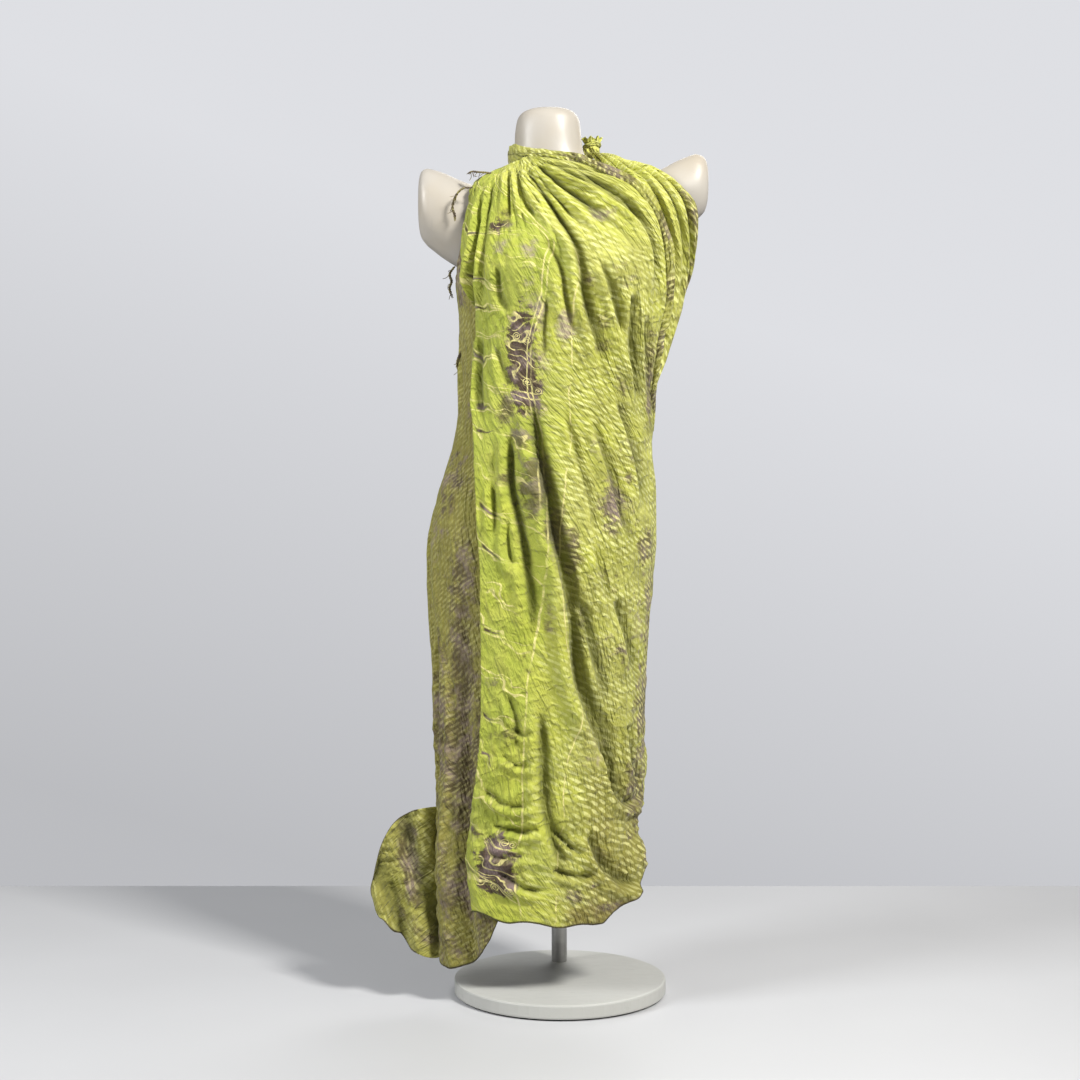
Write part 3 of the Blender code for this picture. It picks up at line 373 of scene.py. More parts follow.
ROUND_MAUVE = (
    Stain(128, 1.000, 18, 0.040, 0.60), Stain(168, 0.820, 20, 0.060, 0.60),
    Stain(214, 1.080, 18, 0.050, 0.60), Stain(262, 0.980, 18, 0.060, 0.55),
    Stain(290, 0.780, 12, 0.050, 0.50), Stain(196, 0.460, 18, 0.060, 0.50),
    Stain(298, 0.880, 12, 0.040, 0.60),
)
# A place on the hem corner or the shoulder stretch is a share across it, then a share down it.
CORNER_BROWN = (
    Stain(0.42, 0.38, 0.12, 0.28, 1.15), Stain(0.62, 0.75, 0.10, 0.12, 0.60),
    Stain(0.30, 0.86, 0.3, 0.08, 0.6),
)
SHOULDER_BROWN = (
    Stain(0.93, 0.46, 0.10, 0.10, 0.72), Stain(0.88, 0.70, 0.12, 0.20, 0.82),
    Stain(0.30, 0.62, 0.08, 0.20, 0.40), Stain(0.20, 0.36, 0.10, 0.06, 0.40),
    Stain(0.60, 0.90, 0.30, 0.08, 0.80), Stain(0.02, 0.40, 0.05, 0.4, 0.60),
)
SHOULDER_MAUVE = (Stain(0.2, 0.3, 0.16, 0.05, 0.7),)


# ---------------------------------------------------------------- small maths
def smooth_step(value):
    """0 below 0 and 1 above 1, and smooth between."""
    value = np.clip(value, 0.0, 1.0)
    return value * value * (3.0 - 2.0 * value)


def follow(table, at):
    """A smooth line through (position, value) pairs: a cubic with the slope of its neighbours."""
    places = np.array([row[0] for row in table], float)
    values = np.array([row[1] for row in table], float)
    slopes = np.gradient(values, places)
    at = np.clip(at, places[0], places[-1])
    k = np.clip(np.searchsorted(places, at, side="right") - 1, 0, len(places) - 2)
    span = places[k + 1] - places[k]
    t = (at - places[k]) / span
    rise = values[k] * (1 + 2 * t) * (1 - t) ** 2 + values[k + 1] * t * t * (3 - 2 * t)
    return rise + slopes[k] * span * t * (1 - t) ** 2 - slopes[k + 1] * span * t * t * (1 - t)


def route(points, count):
    """count points spread along a smooth line through a few."""
    points = np.array(points, float)
    steps = np.arange(len(points), dtype=float)
    at = np.linspace(0.0, steps[-1], count)
    return np.stack([follow(list(zip(steps, points[:, k])), at) for k in range(points.shape[1])], axis=1)


def ripple(across, along, waves_across, waves_along, seed):
    """Smooth random waves from -1 to 1, with a number of them in a metre each way."""
    flat = zip((across * waves_across).ravel(), (along * waves_along).ravel())
    return np.array([noise.noise((a, b, seed)) for a, b in flat]).reshape(np.shape(across))


def section_at(height):
    """The bare form's half sizes at a height: left, right, front and back."""
    heights = [row.height for row in CLOTH_SECTIONS]
    return [
        follow(list(zip(heights, [getattr(row, side) for row in CLOTH_SECTIONS])), height)
        for side in ("left", "right", "front", "back")
    ]


def girth(turn, height, stand_off):
    """Points at a turn and height on the cloth's bare form, moved out, and their outward ways."""
    left, right, front, back = section_at(height)
    angle = np.radians(turn)
    sine, cosine = np.sin(angle), np.cos(angle)
    half_width = (left + right) / 2
    half_depth = np.where(cosine > 0, front, back)
    power = 2.0 / ROUNDNESS
    x = (right - left) / 2 + half_width * np.sign(sine) * np.abs(sine) ** power
    y = -half_depth * np.sign(cosine) * np.abs(cosine) ** power
    out = np.stack([sine / half_width, -cosine / half_depth], axis=-1)
    out /= np.linalg.norm(out, axis=-1, keepdims=True)
    out = np.concatenate([out, np.zeros_like(out[..., :1])], axis=-1)
    points = np.stack([x, y, height * np.ones_like(x)], axis=-1)
    return points + out * np.asarray(stand_off)[..., None], out


# ---------------------------------------------------------------- folds
def flute_reach(turn, height):
    """How far the soft upright flutes lift the cloth."""
    total = np.zeros_like(turn)
    for flute in FLUTES:
        down = (flute.top - height) / (flute.top - flute.full)
        centre = flute.turn_top + (flute.turn_foot - flute.turn_top) * np.clip(down, 0, 1)
        away = (turn - centre + 180.0) % 360.0 - 180.0
        total += flute.reach * smooth_step(down) * np.exp(-((away / flute.width) ** 2))
    return total


def fold_reach(folds, across, along, depth_share, scale=1.0):
    """How far folds sink or swell the cloth: a trough, steep on the side where the cloth swells.

    A fold starts narrow and widens down its length, and it fades at both ends. depth_share
    deepens them all, and scale turns the first coordinate of a fold's line into metres.
    """
    total = np.zeros_like(across)
    for fold in folds:
        line = route(np.array(fold.line) * (scale, 1.0), 110)
        way = np.gradient(line, axis=0)
        way /= np.linalg.norm(way, axis=1, keepdims=True)
        step_a = across[..., None] - line[:, 0]
        step_b = along[..., None] - line[:, 1]
        nearest = (step_a**2 + step_b**2).argmin(axis=-1)
        near_a = across - line[nearest, 0]
        near_b = along - line[nearest, 1]
        gap = np.hypot(near_a, near_b)
        side = np.sign(near_b * way[nearest, 0] - near_a * way[nearest, 1])
        share = nearest / (len(line) - 1)
        width = fold.width * (0.70 + 0.60 * share)
        taper = smooth_step(share / 0.14) * smooth_step((1 - share) / 0.34)
        step = side * gap / width
        trough = np.exp(-((step / np.where(step < 0, 0.80, 1.35)) ** 2))
        swell = 1.6 * fold.lip * np.exp(-(((step + 1.8) / 1.05) ** 2))
        total += depth_share * fold.depth * taper * (swell - trough)
    return total


def bust_reach(x, z):
    """The soft fullness that the cloth keeps over the form's chest."""
    total = np.zeros_like(x)
    for centre in BUST_SIDES:
        away = (x - centre) ** 2 + (z - BUST_HEIGHT) ** 2
        total += BUST_FULLNESS * np.exp(-(away / BUST_SPREAD**2))
    return total


def gather_reach(x, z):
    """Pleats that fan out from where the front is gathered into the neck band."""
    step_x, step_z = x - GATHER[0], GATHER[1] - z
    spread = np.degrees(np.arctan2(step_x, np.maximum(step_z, 1e-4)))
    distance = np.hypot(step_x, step_z)
    phase = spread / PLEAT_DEGREES + 0.55 * ripple(spread / 90.0, distance, 4.0, 9.0, 4.3)
    wave = 1.0 - 2.0 * (1.0 - np.abs(np.sin(math.pi * phase))) ** 1.6
    uneven = 0.75 + 0.5 * ripple(spread / 90.0, distance, 9.0, 2.0, 7.7)
    fade = smooth_step(distance / 0.05) * np.exp(-((distance / PLEAT_LENGTH) ** 2))
    inner = 0.40 + 0.60 * smooth_step((spread + 14.0) / 20.0)
    return PLEAT_DEPTH * uneven * fade * inner * wave


def underarm_swell(turn, height):
    """The slack cloth that stands off the form under the -X arm stub."""
    slack = np.exp(-(((turn - UNDERARM_TURN) / 26.0) ** 2))
    return UNDERARM_SLACK * slack * smooth_step((height - 0.98) / 0.10)


def crumple(flat_u, flat_v, height, depth):
    """Wear creases of thin cotton: long ones down the cloth and short ones near the hem."""
    lean = flat_u + 0.16 * flat_v
    long_ones = ripple(lean, flat_v, 34.0, 6.5, 1.7)
    sharp = 1.0 - np.abs(ripple(lean, flat_v, 46.0, 11.0, 8.1)) * 2.6
    small = ripple(flat_u, flat_v, 105.0, 62.0, 3.9)
    low = smooth_step((0.62 - height) / 0.26)
    bars = 1.0 - np.abs(ripple(flat_u + 0.35 * flat_v, flat_v, 15.0, 52.0, 6.4)) * 2.8
    cross = ripple(flat_u - 0.5 * flat_v, flat_v, 22.0, 30.0, 9.6)
    return depth * (
        1.00 * long_ones + 0.55 * np.clip(sharp, 0, 1) + 0.22 * small + 0.45 * cross * (0.4 + 0.6 * low)
        + 1.30 * low * np.clip(bars, 0, 1)
    )


def wrap_surface(turn, height, flat_u, depth, on_front=False):
    """The wrapped cloth's middle surface, and how deep each place lies in a fold from 0 to 1, which sets how
    much painted shade its colour gets there.

    The cloth winds inwards by LAP_GAP with each full turn.
    """
    stand_off = -LAP_GAP * turn / 360.0 - INNER_TUCK * smooth_step((turn - 285.0) / 20.0)
    bare, out = girth(turn, height, stand_off)
    x, z = bare[..., 0], bare[..., 2]
    front = smooth_step(np.cos(np.radians(turn)) / 0.35)
    creases = crumple(flat_u, z - CLOTH_FOOT, height, depth)
    if on_front:
        folds = front * (fold_reach(FRONT_FOLDS, x, z, FRONT_FOLD_SHARE) + gather_reach(x, z))
    else:
        away = smooth_step((turn - SIDE_SEAM) / 12.0)
        folds = away * fold_reach(BACK_FOLDS, turn * FLAT_PER_TURN, height, 1.0, FLAT_PER_TURN)
    reach = flute_reach(turn, height) + front * bust_reach(x, z) + underarm_swell(turn, height)
    # Painted shade: how far the fold and crease bottoms are darkened in the cloth's colour.
    fold_painted_shade = smooth_step((-folds - 0.5 * creases - 0.0005) / PAINTED_SHADE_DEPTH)
    return bare + out * (reach + creases + folds)[..., None], fold_painted_shade


def dye(stains, a, b):
    """How strongly stains colour each place, from 0 up."""
    total = np.zeros_like(a)
    for stain in stains:
        away = ((a - stain.place_a) / stain.reach_a) ** 2 + ((b - stain.place_b) / stain.reach_b) ** 2
        total = np.maximum(total, stain.strength * np.exp(-0.5 * away))
    return total


# ---------------------------------------------------------------- Blender helpers
def grid_faces(index, closed_across=False):
    """Quads over an array of vertex numbers, which may close on itself across."""
    if closed_across:
        index = np.concatenate([index, index[:, :1]], axis=1)
    corners = [index[:-1, :-1], index[1:, :-1], index[1:, 1:], index[:-1, 1:]]
    return np.stack([corner.ravel() for corner in corners], axis=1)


PLAIN_MARKS = {
    "brown": 0.0, "mauve": 0.0, "olive": 0.0, "turned": 0.0, "patch": 0.0,
    "fold_painted_shade": 0.0, "edge_gap": 0.05, "to_border": 0.2, "to_second": 0.2,
}


def make_piece(name, points, faces, material, flat=None, marks=None):
    """A smooth-shaded mesh with its flat map and its marks for dye and painted shade, riding on the frame."""
    mesh = bpy.data.meshes.new(name)
    mesh.from_pydata(np.asarray(points).reshape(-1, 3).tolist(), [], np.asarray(faces).tolist())
    if flat is not None:
        layer = mesh.uv_layers.new(name=FLAT_MAP)
        loops = np.zeros(len(mesh.loops), dtype=np.int32)
        mesh.loops.foreach_get("vertex_index", loops)
        layer.data.foreach_set("uv", np.asarray(flat, np.float32).reshape(-1, 2)[loops].ravel())
    if marks is not None:
        for mark, plain in PLAIN_MARKS.items():
            values = np.broadcast_to(marks.get(mark, plain), np.shape(points)[:-1])
            attribute = mesh.attributes.new(mark, "FLOAT", "POINT")
            attribute.data.foreach_set("value", np.asarray(values, np.float32).ravel())
    mesh.materials.append(material)
    mesh.shade_smooth()
    obj = bpy.data.objects.new(name, mesh)
    bpy.context.scene.collection.objects.link(obj)
    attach(obj, "root")
    return obj


def add_wall(obj, wall):
    """Gives a sheet its thickness, half of it to each side."""
    shell = obj.modifiers.new("cloth wall", "SOLIDIFY")
    shell.thickness = wall
    shell.offset = 0.0
    return obj


def cap_ends(obj):
    """Closes the open rings of a lofted tube and turns every face outwards."""
    work = bmesh.new()
    work.from_mesh(obj.data)
    rim = [edge for edge in work.edges if edge.is_boundary]
    bmesh.ops.holes_fill(work, edges=rim, sides=0)
    bmesh.ops.recalc_face_normals(work, faces=work.faces)
    work.to_mesh(obj.data)
    work.free()
    return obj


def outward_of(points):
    """Unit ways off a grid's surface."""
    out = np.cross(np.gradient(points, axis=0), np.gradient(points, axis=1))
    return out / np.maximum(np.linalg.norm(out, axis=-1, keepdims=True), 1e-12)


# ---------------------------------------------------------------- material recipes
class Recipe:
    """A material written line by line: each call adds a node and hands back its output."""

    def __init__(self, name):
        self.material = bpy.data.materials.new(name)
        self.material.use_nodes = True
        self.tree = self.material.node_tree
        self.shader = self.tree.nodes["Principled BSDF"]
        self.made = 0

    def node(self, kind, **settings):
        node = self.tree.nodes.new(kind)
        node.location = (-260 - 190 * (self.made // 7), 420 - 190 * (self.made % 7))
        self.made += 1
        for name, value in settings.items():
            setattr(node, name, value)
        return node

    def feed(self, socket, value):
        if isinstance(value, bpy.types.NodeSocket):
            self.tree.links.new(value, socket)
        else:
            socket.default_value = value

    def math(self, operation, *values):
        node = self.node("ShaderNodeMath", operation=operation)
        for socket, value in zip(node.inputs, values):
            self.feed(socket, value)
        return node.outputs[0]

    def total(self, *values):
        result = values[0]
        for value in values[1:]:
            result = self.math("ADD", result, value)
        return result

    def product(self, *values):
        result = values[0]
        for value in values[1:]:
            result = self.math("MULTIPLY", result, value)
        return result

    def inverse(self, value):
        return self.math("SUBTRACT", 1.0, value)

    def ease(self, value, low, high, start=0.0, end=1.0):
        """Smoothly from start to end while value goes from low to high."""
        node = self.node("ShaderNodeMapRange", interpolation_type="SMOOTHSTEP")
        keys = ("Value", "From Min", "From Max", "To Min", "To Max")
        for key, number in zip(keys, (value, low, high, start, end)):
            self.feed(node.inputs[key], number)
        return node.outputs[0]

    def mix(self, share, first, second):
        node = self.node("ShaderNodeMix", data_type="RGBA", clamp_factor=True)
        for socket, value in zip((node.inputs[0], node.inputs[6], node.inputs[7]), (share, first, second)):
            self.feed(socket, value if isinstance(value, (float, bpy.types.NodeSocket)) else (*value, 1.0))
        return node.outputs[2]

    def stretched(self, vector, across, along, third=1.0):
        node = self.node("ShaderNodeVectorMath", operation="MULTIPLY")
        self.feed(node.inputs[0], vector)
        node.inputs[1].default_value = (across, along, third)
        return node.outputs[0]

    def noise(self, vector, scale, detail=2.0, rough=0.5):
        node = self.node("ShaderNodeTexNoise")
        self.feed(node.inputs["Vector"], vector)
        node.inputs["Scale"].default_value = scale
        node.inputs["Detail"].default_value = detail
        node.inputs["Roughness"].default_value = rough
        return node.outputs[0]

    def mark(self, name):
        return self.node("ShaderNodeAttribute", attribute_name=name).outputs["Fac"]

    def parts(self, vector):
        node = self.node("ShaderNodeSeparateXYZ")
        self.feed(node.inputs[0], vector)
        return node.outputs[0], node.outputs[1]

    def join(self, first, second):
        node = self.node("ShaderNodeCombineXYZ")
        self.feed(node.inputs[0], first)
        self.feed(node.inputs[1], second)
        return node.outputs[0]

    def relief(self, height, strength, distance):
        node = self.node("ShaderNodeBump")
        self.feed(node.inputs["Height"], height)
        node.inputs["Strength"].default_value = strength
        node.inputs["Distance"].default_value = distance
        self.feed(self.shader.inputs["Normal"], node.outputs[0])

    def set(self, **values):
        for name, value in values.items():
            self.feed(self.shader.inputs[name.replace("_", " ")], value)


StrokeRows = namedtuple("StrokeRows", "degrees pitch_along pitch_across")
FACE_STROKES = StrokeRows(-31.0, 0.0215, 0.0088)
TURNED_STROKES = StrokeRows(34.0, 0.0220, 0.0080)
ROW_SHIFT = 0.537  # of a stroke's pitch, from one row to the next


def stroke_lattice(recipe, u, v, drift, ragged, rows):
    """Rows of short wax strokes, each row shifted from the last. 1 inside a stroke."""
    cosine, sine = math.cos(math.radians(rows.degrees)), math.sin(math.radians(rows.degrees))
    along = recipe.total(recipe.product(u, cosine), recipe.product(v, sine), recipe.product(drift, 0.055))
    across = recipe.total(recipe.product(v, cosine), recipe.product(u, -sine), recipe.product(drift, 0.034))
    row = recipe.math("FLOOR", recipe.product(across, 1.0 / rows.pitch_across))
    shift = recipe.math("FRACT", recipe.product(row, ROW_SHIFT))
    place = recipe.math("FRACT", recipe.total(recipe.product(along, 1.0 / rows.pitch_along), shift))
    level = recipe.math("FRACT", recipe.product(across, 1.0 / rows.pitch_across))
    long_way = recipe.product(recipe.math("SUBTRACT", place, 0.5), 2.05)
    short_way = recipe.product(recipe.math("SUBTRACT", level, 0.5), 3.20)
    squared = recipe.total(
        recipe.math("POWER", long_way, 2.0),
        recipe.math("POWER", short_way, 2.0),
        recipe.product(ragged, 1.4),
    )
    return recipe.ease(squared, 0.25, 1.10, 1.0, 0.0)


def line_at(recipe, value, width):
    """1 where value is within a width of zero."""
    inner = recipe.product(width, 0.40) if isinstance(width, bpy.types.NodeSocket) else width * 0.40
    return recipe.ease(recipe.math("ABSOLUTE", value), inner, width, 1.0, 0.0)


def scroll(recipe, u, v, centre_u, centre_v, reach):
    """A small spiral drawn in wax."""
    step_u = recipe.math("SUBTRACT", u, centre_u)
    step_v = recipe.math("SUBTRACT", v, centre_v)
    squared = recipe.total(recipe.math("POWER", step_u, 2.0), recipe.math("POWER", step_v, 2.0))
    radius = recipe.math("SQRT", squared)
    angle = recipe.product(recipe.math("ARCTAN2", step_v, step_u), 1.0 / (2.0 * math.pi))
    wound = recipe.math("FRACT", recipe.math("SUBTRACT", recipe.product(radius, SCROLL_RINGS), angle))
    ring = line_at(recipe, recipe.math("SUBTRACT", wound, 0.5), 0.21)
    return recipe.product(ring, recipe.ease(radius, reach * 0.8, reach, 1.0, 0.0))


SCROLL_RINGS = 300.0  # rings of a spiral in a metre
SCROLLS = (  # each one's flat place and its radius
    (0.103, 0.962, 0.0085), (0.120, 0.954, 0.0080), (0.110, 0.887, 0.0080), (0.122, 0.872, 0.0060),
    (0.067, 0.140, 0.0080), (0.078, 0.137, 0.0070), (0.053, 0.068, 0.0075), (0.073, 0.063, 0.0085),
)
FLAME_PITCH = 0.066   # from one flame to the next, along the free edge
UPPER_FLAMES = 0.80   # flat height above which the flames crowd together
UPPER_FLAME_RATE = 9.0


def border_lines(recipe, u, v, wander):
    """Wax lines of the end border: flames across it, then upright lines that close it."""
    from_border, from_second = recipe.mark("to_border"), recipe.mark("to_second")
    bent = recipe.product(wander, 0.007)
    worn = recipe.ease(recipe.noise(recipe.join(u, v), 30.0, 3.0), 0.36, 0.58, 0.15, 1.0)
    edge_one = recipe.product(line_at(recipe, recipe.total(from_border, bent), 0.0017), worn)
    twin = recipe.product(
        line_at(recipe, recipe.total(from_border, bent, 0.0065), 0.0014), recipe.ease(v, 0.66, 0.74)
    )
    broken = recipe.ease(recipe.noise(recipe.join(u, v), 22.0), 0.40, 0.54)
    edge_two = recipe.product(line_at(recipe, recipe.total(from_second, bent), 0.0013), broken)
    width = recipe.math("SUBTRACT", u, from_border)
    share = recipe.math("DIVIDE", u, width)
    crowd = recipe.product(
        recipe.math("MAXIMUM", recipe.math("SUBTRACT", v, UPPER_FLAMES), 0.0), UPPER_FLAME_RATE
    )
    phase = recipe.total(
        recipe.product(v, 1.0 / FLAME_PITCH), crowd, recipe.product(wander, 1.3), recipe.product(share, 0.95)
    )
    level = recipe.math("SUBTRACT", recipe.math("FRACT", phase), 0.5)
    half = recipe.ease(share, 0.02, 0.66, 0.15, 0.010)
    gap = recipe.math("SUBTRACT", recipe.math("ABSOLUTE", level), half)
    flames = line_at(recipe, gap, recipe.ease(share, 0.1, 0.9, 0.046, 0.020))
    branch = recipe.math("SUBTRACT", level, recipe.ease(share, 0.20, 1.0, 0.02, 0.34))
    offshoot = recipe.product(line_at(recipe, branch, 0.020), recipe.ease(share, 0.25, 0.4))
    flames = recipe.math("MAXIMUM", flames, offshoot)
    inside = recipe.ease(share, 0.95, 1.0, 1.0, 0.0)
    faint = recipe.ease(recipe.noise(recipe.join(u, v), 15.0), 0.40, 0.56, 0.10, 0.95)
    flames = recipe.product(flames, inside, faint)
    core = recipe.product(recipe.ease(gap, -0.10, -0.03, 1.0, 0.0), inside)
    cell = recipe.math("FLOOR", phase)
    picked = recipe.ease(recipe.math("FRACT", recipe.product(cell, 0.382)), 0.35, 0.40)
    core = recipe.product(
        core, picked, recipe.ease(share, 0.04, 0.10), recipe.ease(share, 0.40, 0.62, 1.0, 0.0)
    )
    wax = flames
    for drawn in (edge_one, twin, edge_two):
        wax = recipe.math("MAXIMUM", wax, drawn)
    return wax, core, recipe.ease(from_border, -0.004, 0.016, 1.0, 0.0)


def make_batik(cloth):
    """Crinkled cotton, dyed lime over brown and mauve, with wax strokes, scrolls and flames, and painted
    shade at the bottoms of its folds.
    """
    recipe = Recipe("crinkled_batik_cotton")
    flat = recipe.node("ShaderNodeUVMap", uv_map=FLAT_MAP).outputs[0]
    u, v = recipe.parts(flat)
    wander = recipe.math("SUBTRACT", recipe.noise(flat, 22.0, 1.5), 0.5)
    drift = recipe.math("SUBTRACT", recipe.noise(flat, 11.0, 2.0), 0.5)
    ragged = recipe.math("SUBTRACT", recipe.noise(flat, 120.0, 3.0, 0.6), 0.5)
    blotch = recipe.noise(flat, 8.0, 3.0)
    cloudy = recipe.noise(flat, 24.0, 4.0, 0.6)
    fleck = recipe.noise(flat, 90.0, 3.0, 0.6)
    leaning = recipe.join(recipe.total(u, recipe.product(v, 0.30)), v)
    streak = recipe.noise(recipe.stretched(leaning, 105.0, 15.0), 1.0, 4.0, 0.62)
    wax_lines, flame_core, border = border_lines(recipe, u, v, wander)

    in_second = recipe.ease(recipe.mark("to_second"), -0.020, 0.014, 1.0, 0.0)
    ground = recipe.mix(recipe.ease(blotch, 0.38, 0.62), tuple(cloth.lime), tuple(cloth.young_leaf))
    deep = recipe.product(border, recipe.ease(cloudy, 0.36, 0.62, 0.08, 0.72))
    ground = recipe.mix(deep, ground, tuple(cloth.leaf_green))
    fresh = recipe.ease(recipe.mark("olive"), -1.0, 0.0)
    beside = recipe.product(in_second, recipe.ease(blotch, 0.36, 0.62, 0.15, 0.70))
    ground = recipe.mix(beside, ground, tuple(cloth.leaf_green))
    outside = recipe.inverse(recipe.product(in_second, 0.55))
    between = recipe.product(
        recipe.inverse(border), recipe.ease(cloudy, 0.34, 0.66, 0.28, 0.84), fresh, outside
    )
    ground = recipe.mix(between, ground, tuple(cloth.moss))
    ground = recipe.mix(recipe.product(recipe.mark("olive"), 0.85), ground, tuple(cloth.olive))
    ground = recipe.mix(recipe.ease(streak, 0.50, 0.72, 0.0, 0.55), ground, tuple(cloth.moss))
    ground = recipe.mix(recipe.ease(fleck, 0.56, 0.74, 0.0, 0.35), ground, tuple(cloth.young_leaf))

    torn = recipe.product(recipe.math("SUBTRACT", recipe.noise(flat, 46.0, 5.0, 0.68), 0.5), 1.9)
    browned = recipe.ease(recipe.total(recipe.mark("brown"), torn), 0.34, 0.80)
    mauved = recipe.ease(recipe.total(recipe.mark("mauve"), torn), 0.34, 0.90, 0.0, 0.75)
    patched = recipe.ease(recipe.total(recipe.mark("patch"), recipe.product(torn, 1.1)), 0.38, 0.70)
    core = recipe.product(flame_core, recipe.ease(fleck, 0.25, 0.5, 0.4, 0.95))
    dark = recipe.math("MAXIMUM", recipe.product(browned, 0.80), recipe.math("MAXIMUM", patched, core))
    ground = recipe.mix(mauved, ground, tuple(cloth.mauve))
    worn = recipe.ease(cloudy, 0.44, 0.62, 0.0, 0.55)
    ground = recipe.mix(dark, ground, recipe.mix(worn, tuple(cloth.bark_brown), tuple(cloth.mauve)))

    first = stroke_lattice(recipe, u, v, drift, ragged, FACE_STROKES)
    second = stroke_lattice(recipe, u, v, drift, ragged, TURNED_STROKES)
    turned = recipe.mark("turned")
    strokes = recipe.total(recipe.product(first, recipe.inverse(turned)), recipe.product(second, turned))
    uneven = recipe.ease(recipe.noise(flat, 20.0, 4.0, 0.66), 0.36, 0.62, 0.13, 0.80)
    fewer = recipe.inverse(recipe.product(in_second, 0.45))
    strokes = recipe.product(strokes, recipe.inverse(border), uneven, fewer)
    strokes = recipe.product(strokes, recipe.ease(recipe.mark("olive"), 0.70, 1.05, 1.0, 0.40))
    warm = recipe.math("MAXIMUM", dark, recipe.product(recipe.mark("olive"), 0.6))
    wax_colour = recipe.mix(warm, tuple(cloth.pale_lime), tuple(cloth.wax_cream))
    softer = recipe.inverse(recipe.product(turned, 0.55))
    colour = recipe.mix(recipe.product(strokes, softer), ground, wax_colour)

    scrolls = recipe.math("MULTIPLY", 0.0, u)
    for centre_u, centre_v, reach in SCROLLS:
        scrolls = recipe.math("MAXIMUM", scrolls, scroll(recipe, u, v, centre_u, centre_v, reach))
    scrolls = recipe.product(scrolls, recipe.ease(fleck, 0.22, 0.42))
    tongue = recipe.total(recipe.product(v, 46.0), recipe.product(u, 17.0), recipe.product(wander, 5.0))
    tongue_level = recipe.math("SUBTRACT", recipe.math("FRACT", tongue), 0.5)
    veins = line_at(recipe, tongue_level, recipe.ease(cloudy, 0.35, 0.65, 0.02, 0.17))
    veins = recipe.product(veins, patched, recipe.ease(fleck, 0.30, 0.50))
    wax_share = recipe.product(wax_lines, recipe.ease(fleck, 0.30, 0.54, 0.12, 0.86))
    drawn = recipe.math("MAXIMUM", recipe.math("MAXIMUM", wax_share, scrolls), recipe.product(veins, 0.8))
    colour = recipe.mix(drawn, colour, tuple(cloth.wax_cream))

    # Painted shade: fold bottoms darkened towards the fold shade colour.
    colour = recipe.mix(recipe.product(recipe.mark("fold_painted_shade"), 0.58), colour, tuple(cloth.painted_shade_colour))

    gap = recipe.mark("edge_gap")
    stitches = recipe.math("SINE", recipe.product(recipe.total(u, v), 2.0 * math.pi / 0.0024))
    overlock = recipe.product(
        recipe.ease(gap, 0.0020, 0.0034, 1.0, 0.0), recipe.ease(stitches, -0.7, 0.3, 0.55, 1.0)
    )
    colour = recipe.mix(overlock, colour, tuple(cloth.hem_thread))

    crush = recipe.noise(recipe.stretched(flat, 120.0, 48.0), 1.0, 4.0, 0.62)
    knife = recipe.inverse(
        recipe.math("ABSOLUTE", recipe.math("SUBTRACT", recipe.noise(flat, 34.0, 2.0), 0.5))
    )
    sharp = recipe.ease(knife, 0.900, 1.0)
    upright = recipe.noise(recipe.stretched(leaning, 80.0, 17.0), 1.0, 3.0)
    knife_two = recipe.inverse(recipe.math("ABSOLUTE", recipe.math("SUBTRACT", upright, 0.5)))
    sharp_two = recipe.ease(knife_two, 0.860, 1.0)
    threads = recipe.math(
        "MULTIPLY",
        recipe.math("SINE", recipe.product(u, 2.0 * math.pi / 0.0009)),
        recipe.math("SINE", recipe.product(v, 2.0 * math.pi / 0.0009)),
    )
    height = recipe.total(
        recipe.product(crush, 0.48), recipe.product(sharp, 0.22), recipe.product(sharp_two, 0.34),
        recipe.product(threads, 0.01), recipe.product(overlock, 0.2), recipe.product(streak, 1.05),
    )
    recipe.relief(height, 0.85, 0.0095)
    recipe.set(Base_Color=colour, Roughness=recipe.ease(fleck, 0.2, 0.8, 0.72, 0.88))
    recipe.set(Sheen_Weight=0.08, Sheen_Roughness=0.45, Specular_IOR_Level=0.28)
    return recipe.material


def make_fringe_yarn(cloth):
    """Two-ply cotton yarn, frayed and stained by the dye."""
    recipe = Recipe("frayed_fringe_yarn")
    place = recipe.node("ShaderNodeTexCoord").outputs["Object"]
    fibre = recipe.noise(place, 900.0, 3.0, 0.7)
    blotch = recipe.noise(place, 120.0, 2.0)
    colour = recipe.mix(recipe.ease(blotch, 0.38, 0.60), tuple(cloth.olive), tuple(cloth.bark_brown))
    colour = recipe.mix(recipe.ease(fibre, 0.55, 0.75, 0.0, 0.6), colour, tuple(cloth.pale_lime))
    recipe.relief(fibre, 0.7, 0.0010)
    recipe.set(Base_Color=colour, Roughness=0.9, Sheen_Weight=0.2)
    return recipe.material


def make_form_shell(form):
    """Warm off-white glossy shell of the dress form, faintly mottled, with rubbed marks."""
    recipe = Recipe("glossy_form_shell")
    place = recipe.node("ShaderNodeTexCoord").outputs["Object"]
    mottle = recipe.noise(place, 7.0, 3.0)
    rubbed = recipe.noise(recipe.stretched(place, 60.0, 60.0, 14.0), 1.0, 4.0, 0.6)
    specks = recipe.noise(place, 260.0, 1.0)
    warm = tuple(channel * share for channel, share in zip(form.shell_colour, (0.96, 0.91, 0.82)))
    colour = recipe.mix(recipe.ease(mottle, 0.35, 0.68), tuple(form.shell_colour), warm)
    grey = tuple(channel * 0.80 for channel in form.shell_colour)
    colour = recipe.mix(recipe.ease(rubbed, 0.66, 0.76, 0.0, 0.45), colour, grey)
    colour = recipe.mix(recipe.ease(specks, 0.76, 0.80, 0.0, 0.5), colour, (0.30, 0.26, 0.20))
    recipe.relief(recipe.total(recipe.product(rubbed, 0.3), recipe.noise(place, 28.0)), 0.10, 0.002)
    recipe.set(Base_Color=colour, Roughness=recipe.ease(rubbed, 0.3, 0.7, 0.42, 0.54))
    recipe.set(Coat_Weight=0.10, Coat_Roughness=0.30)
    return recipe.material


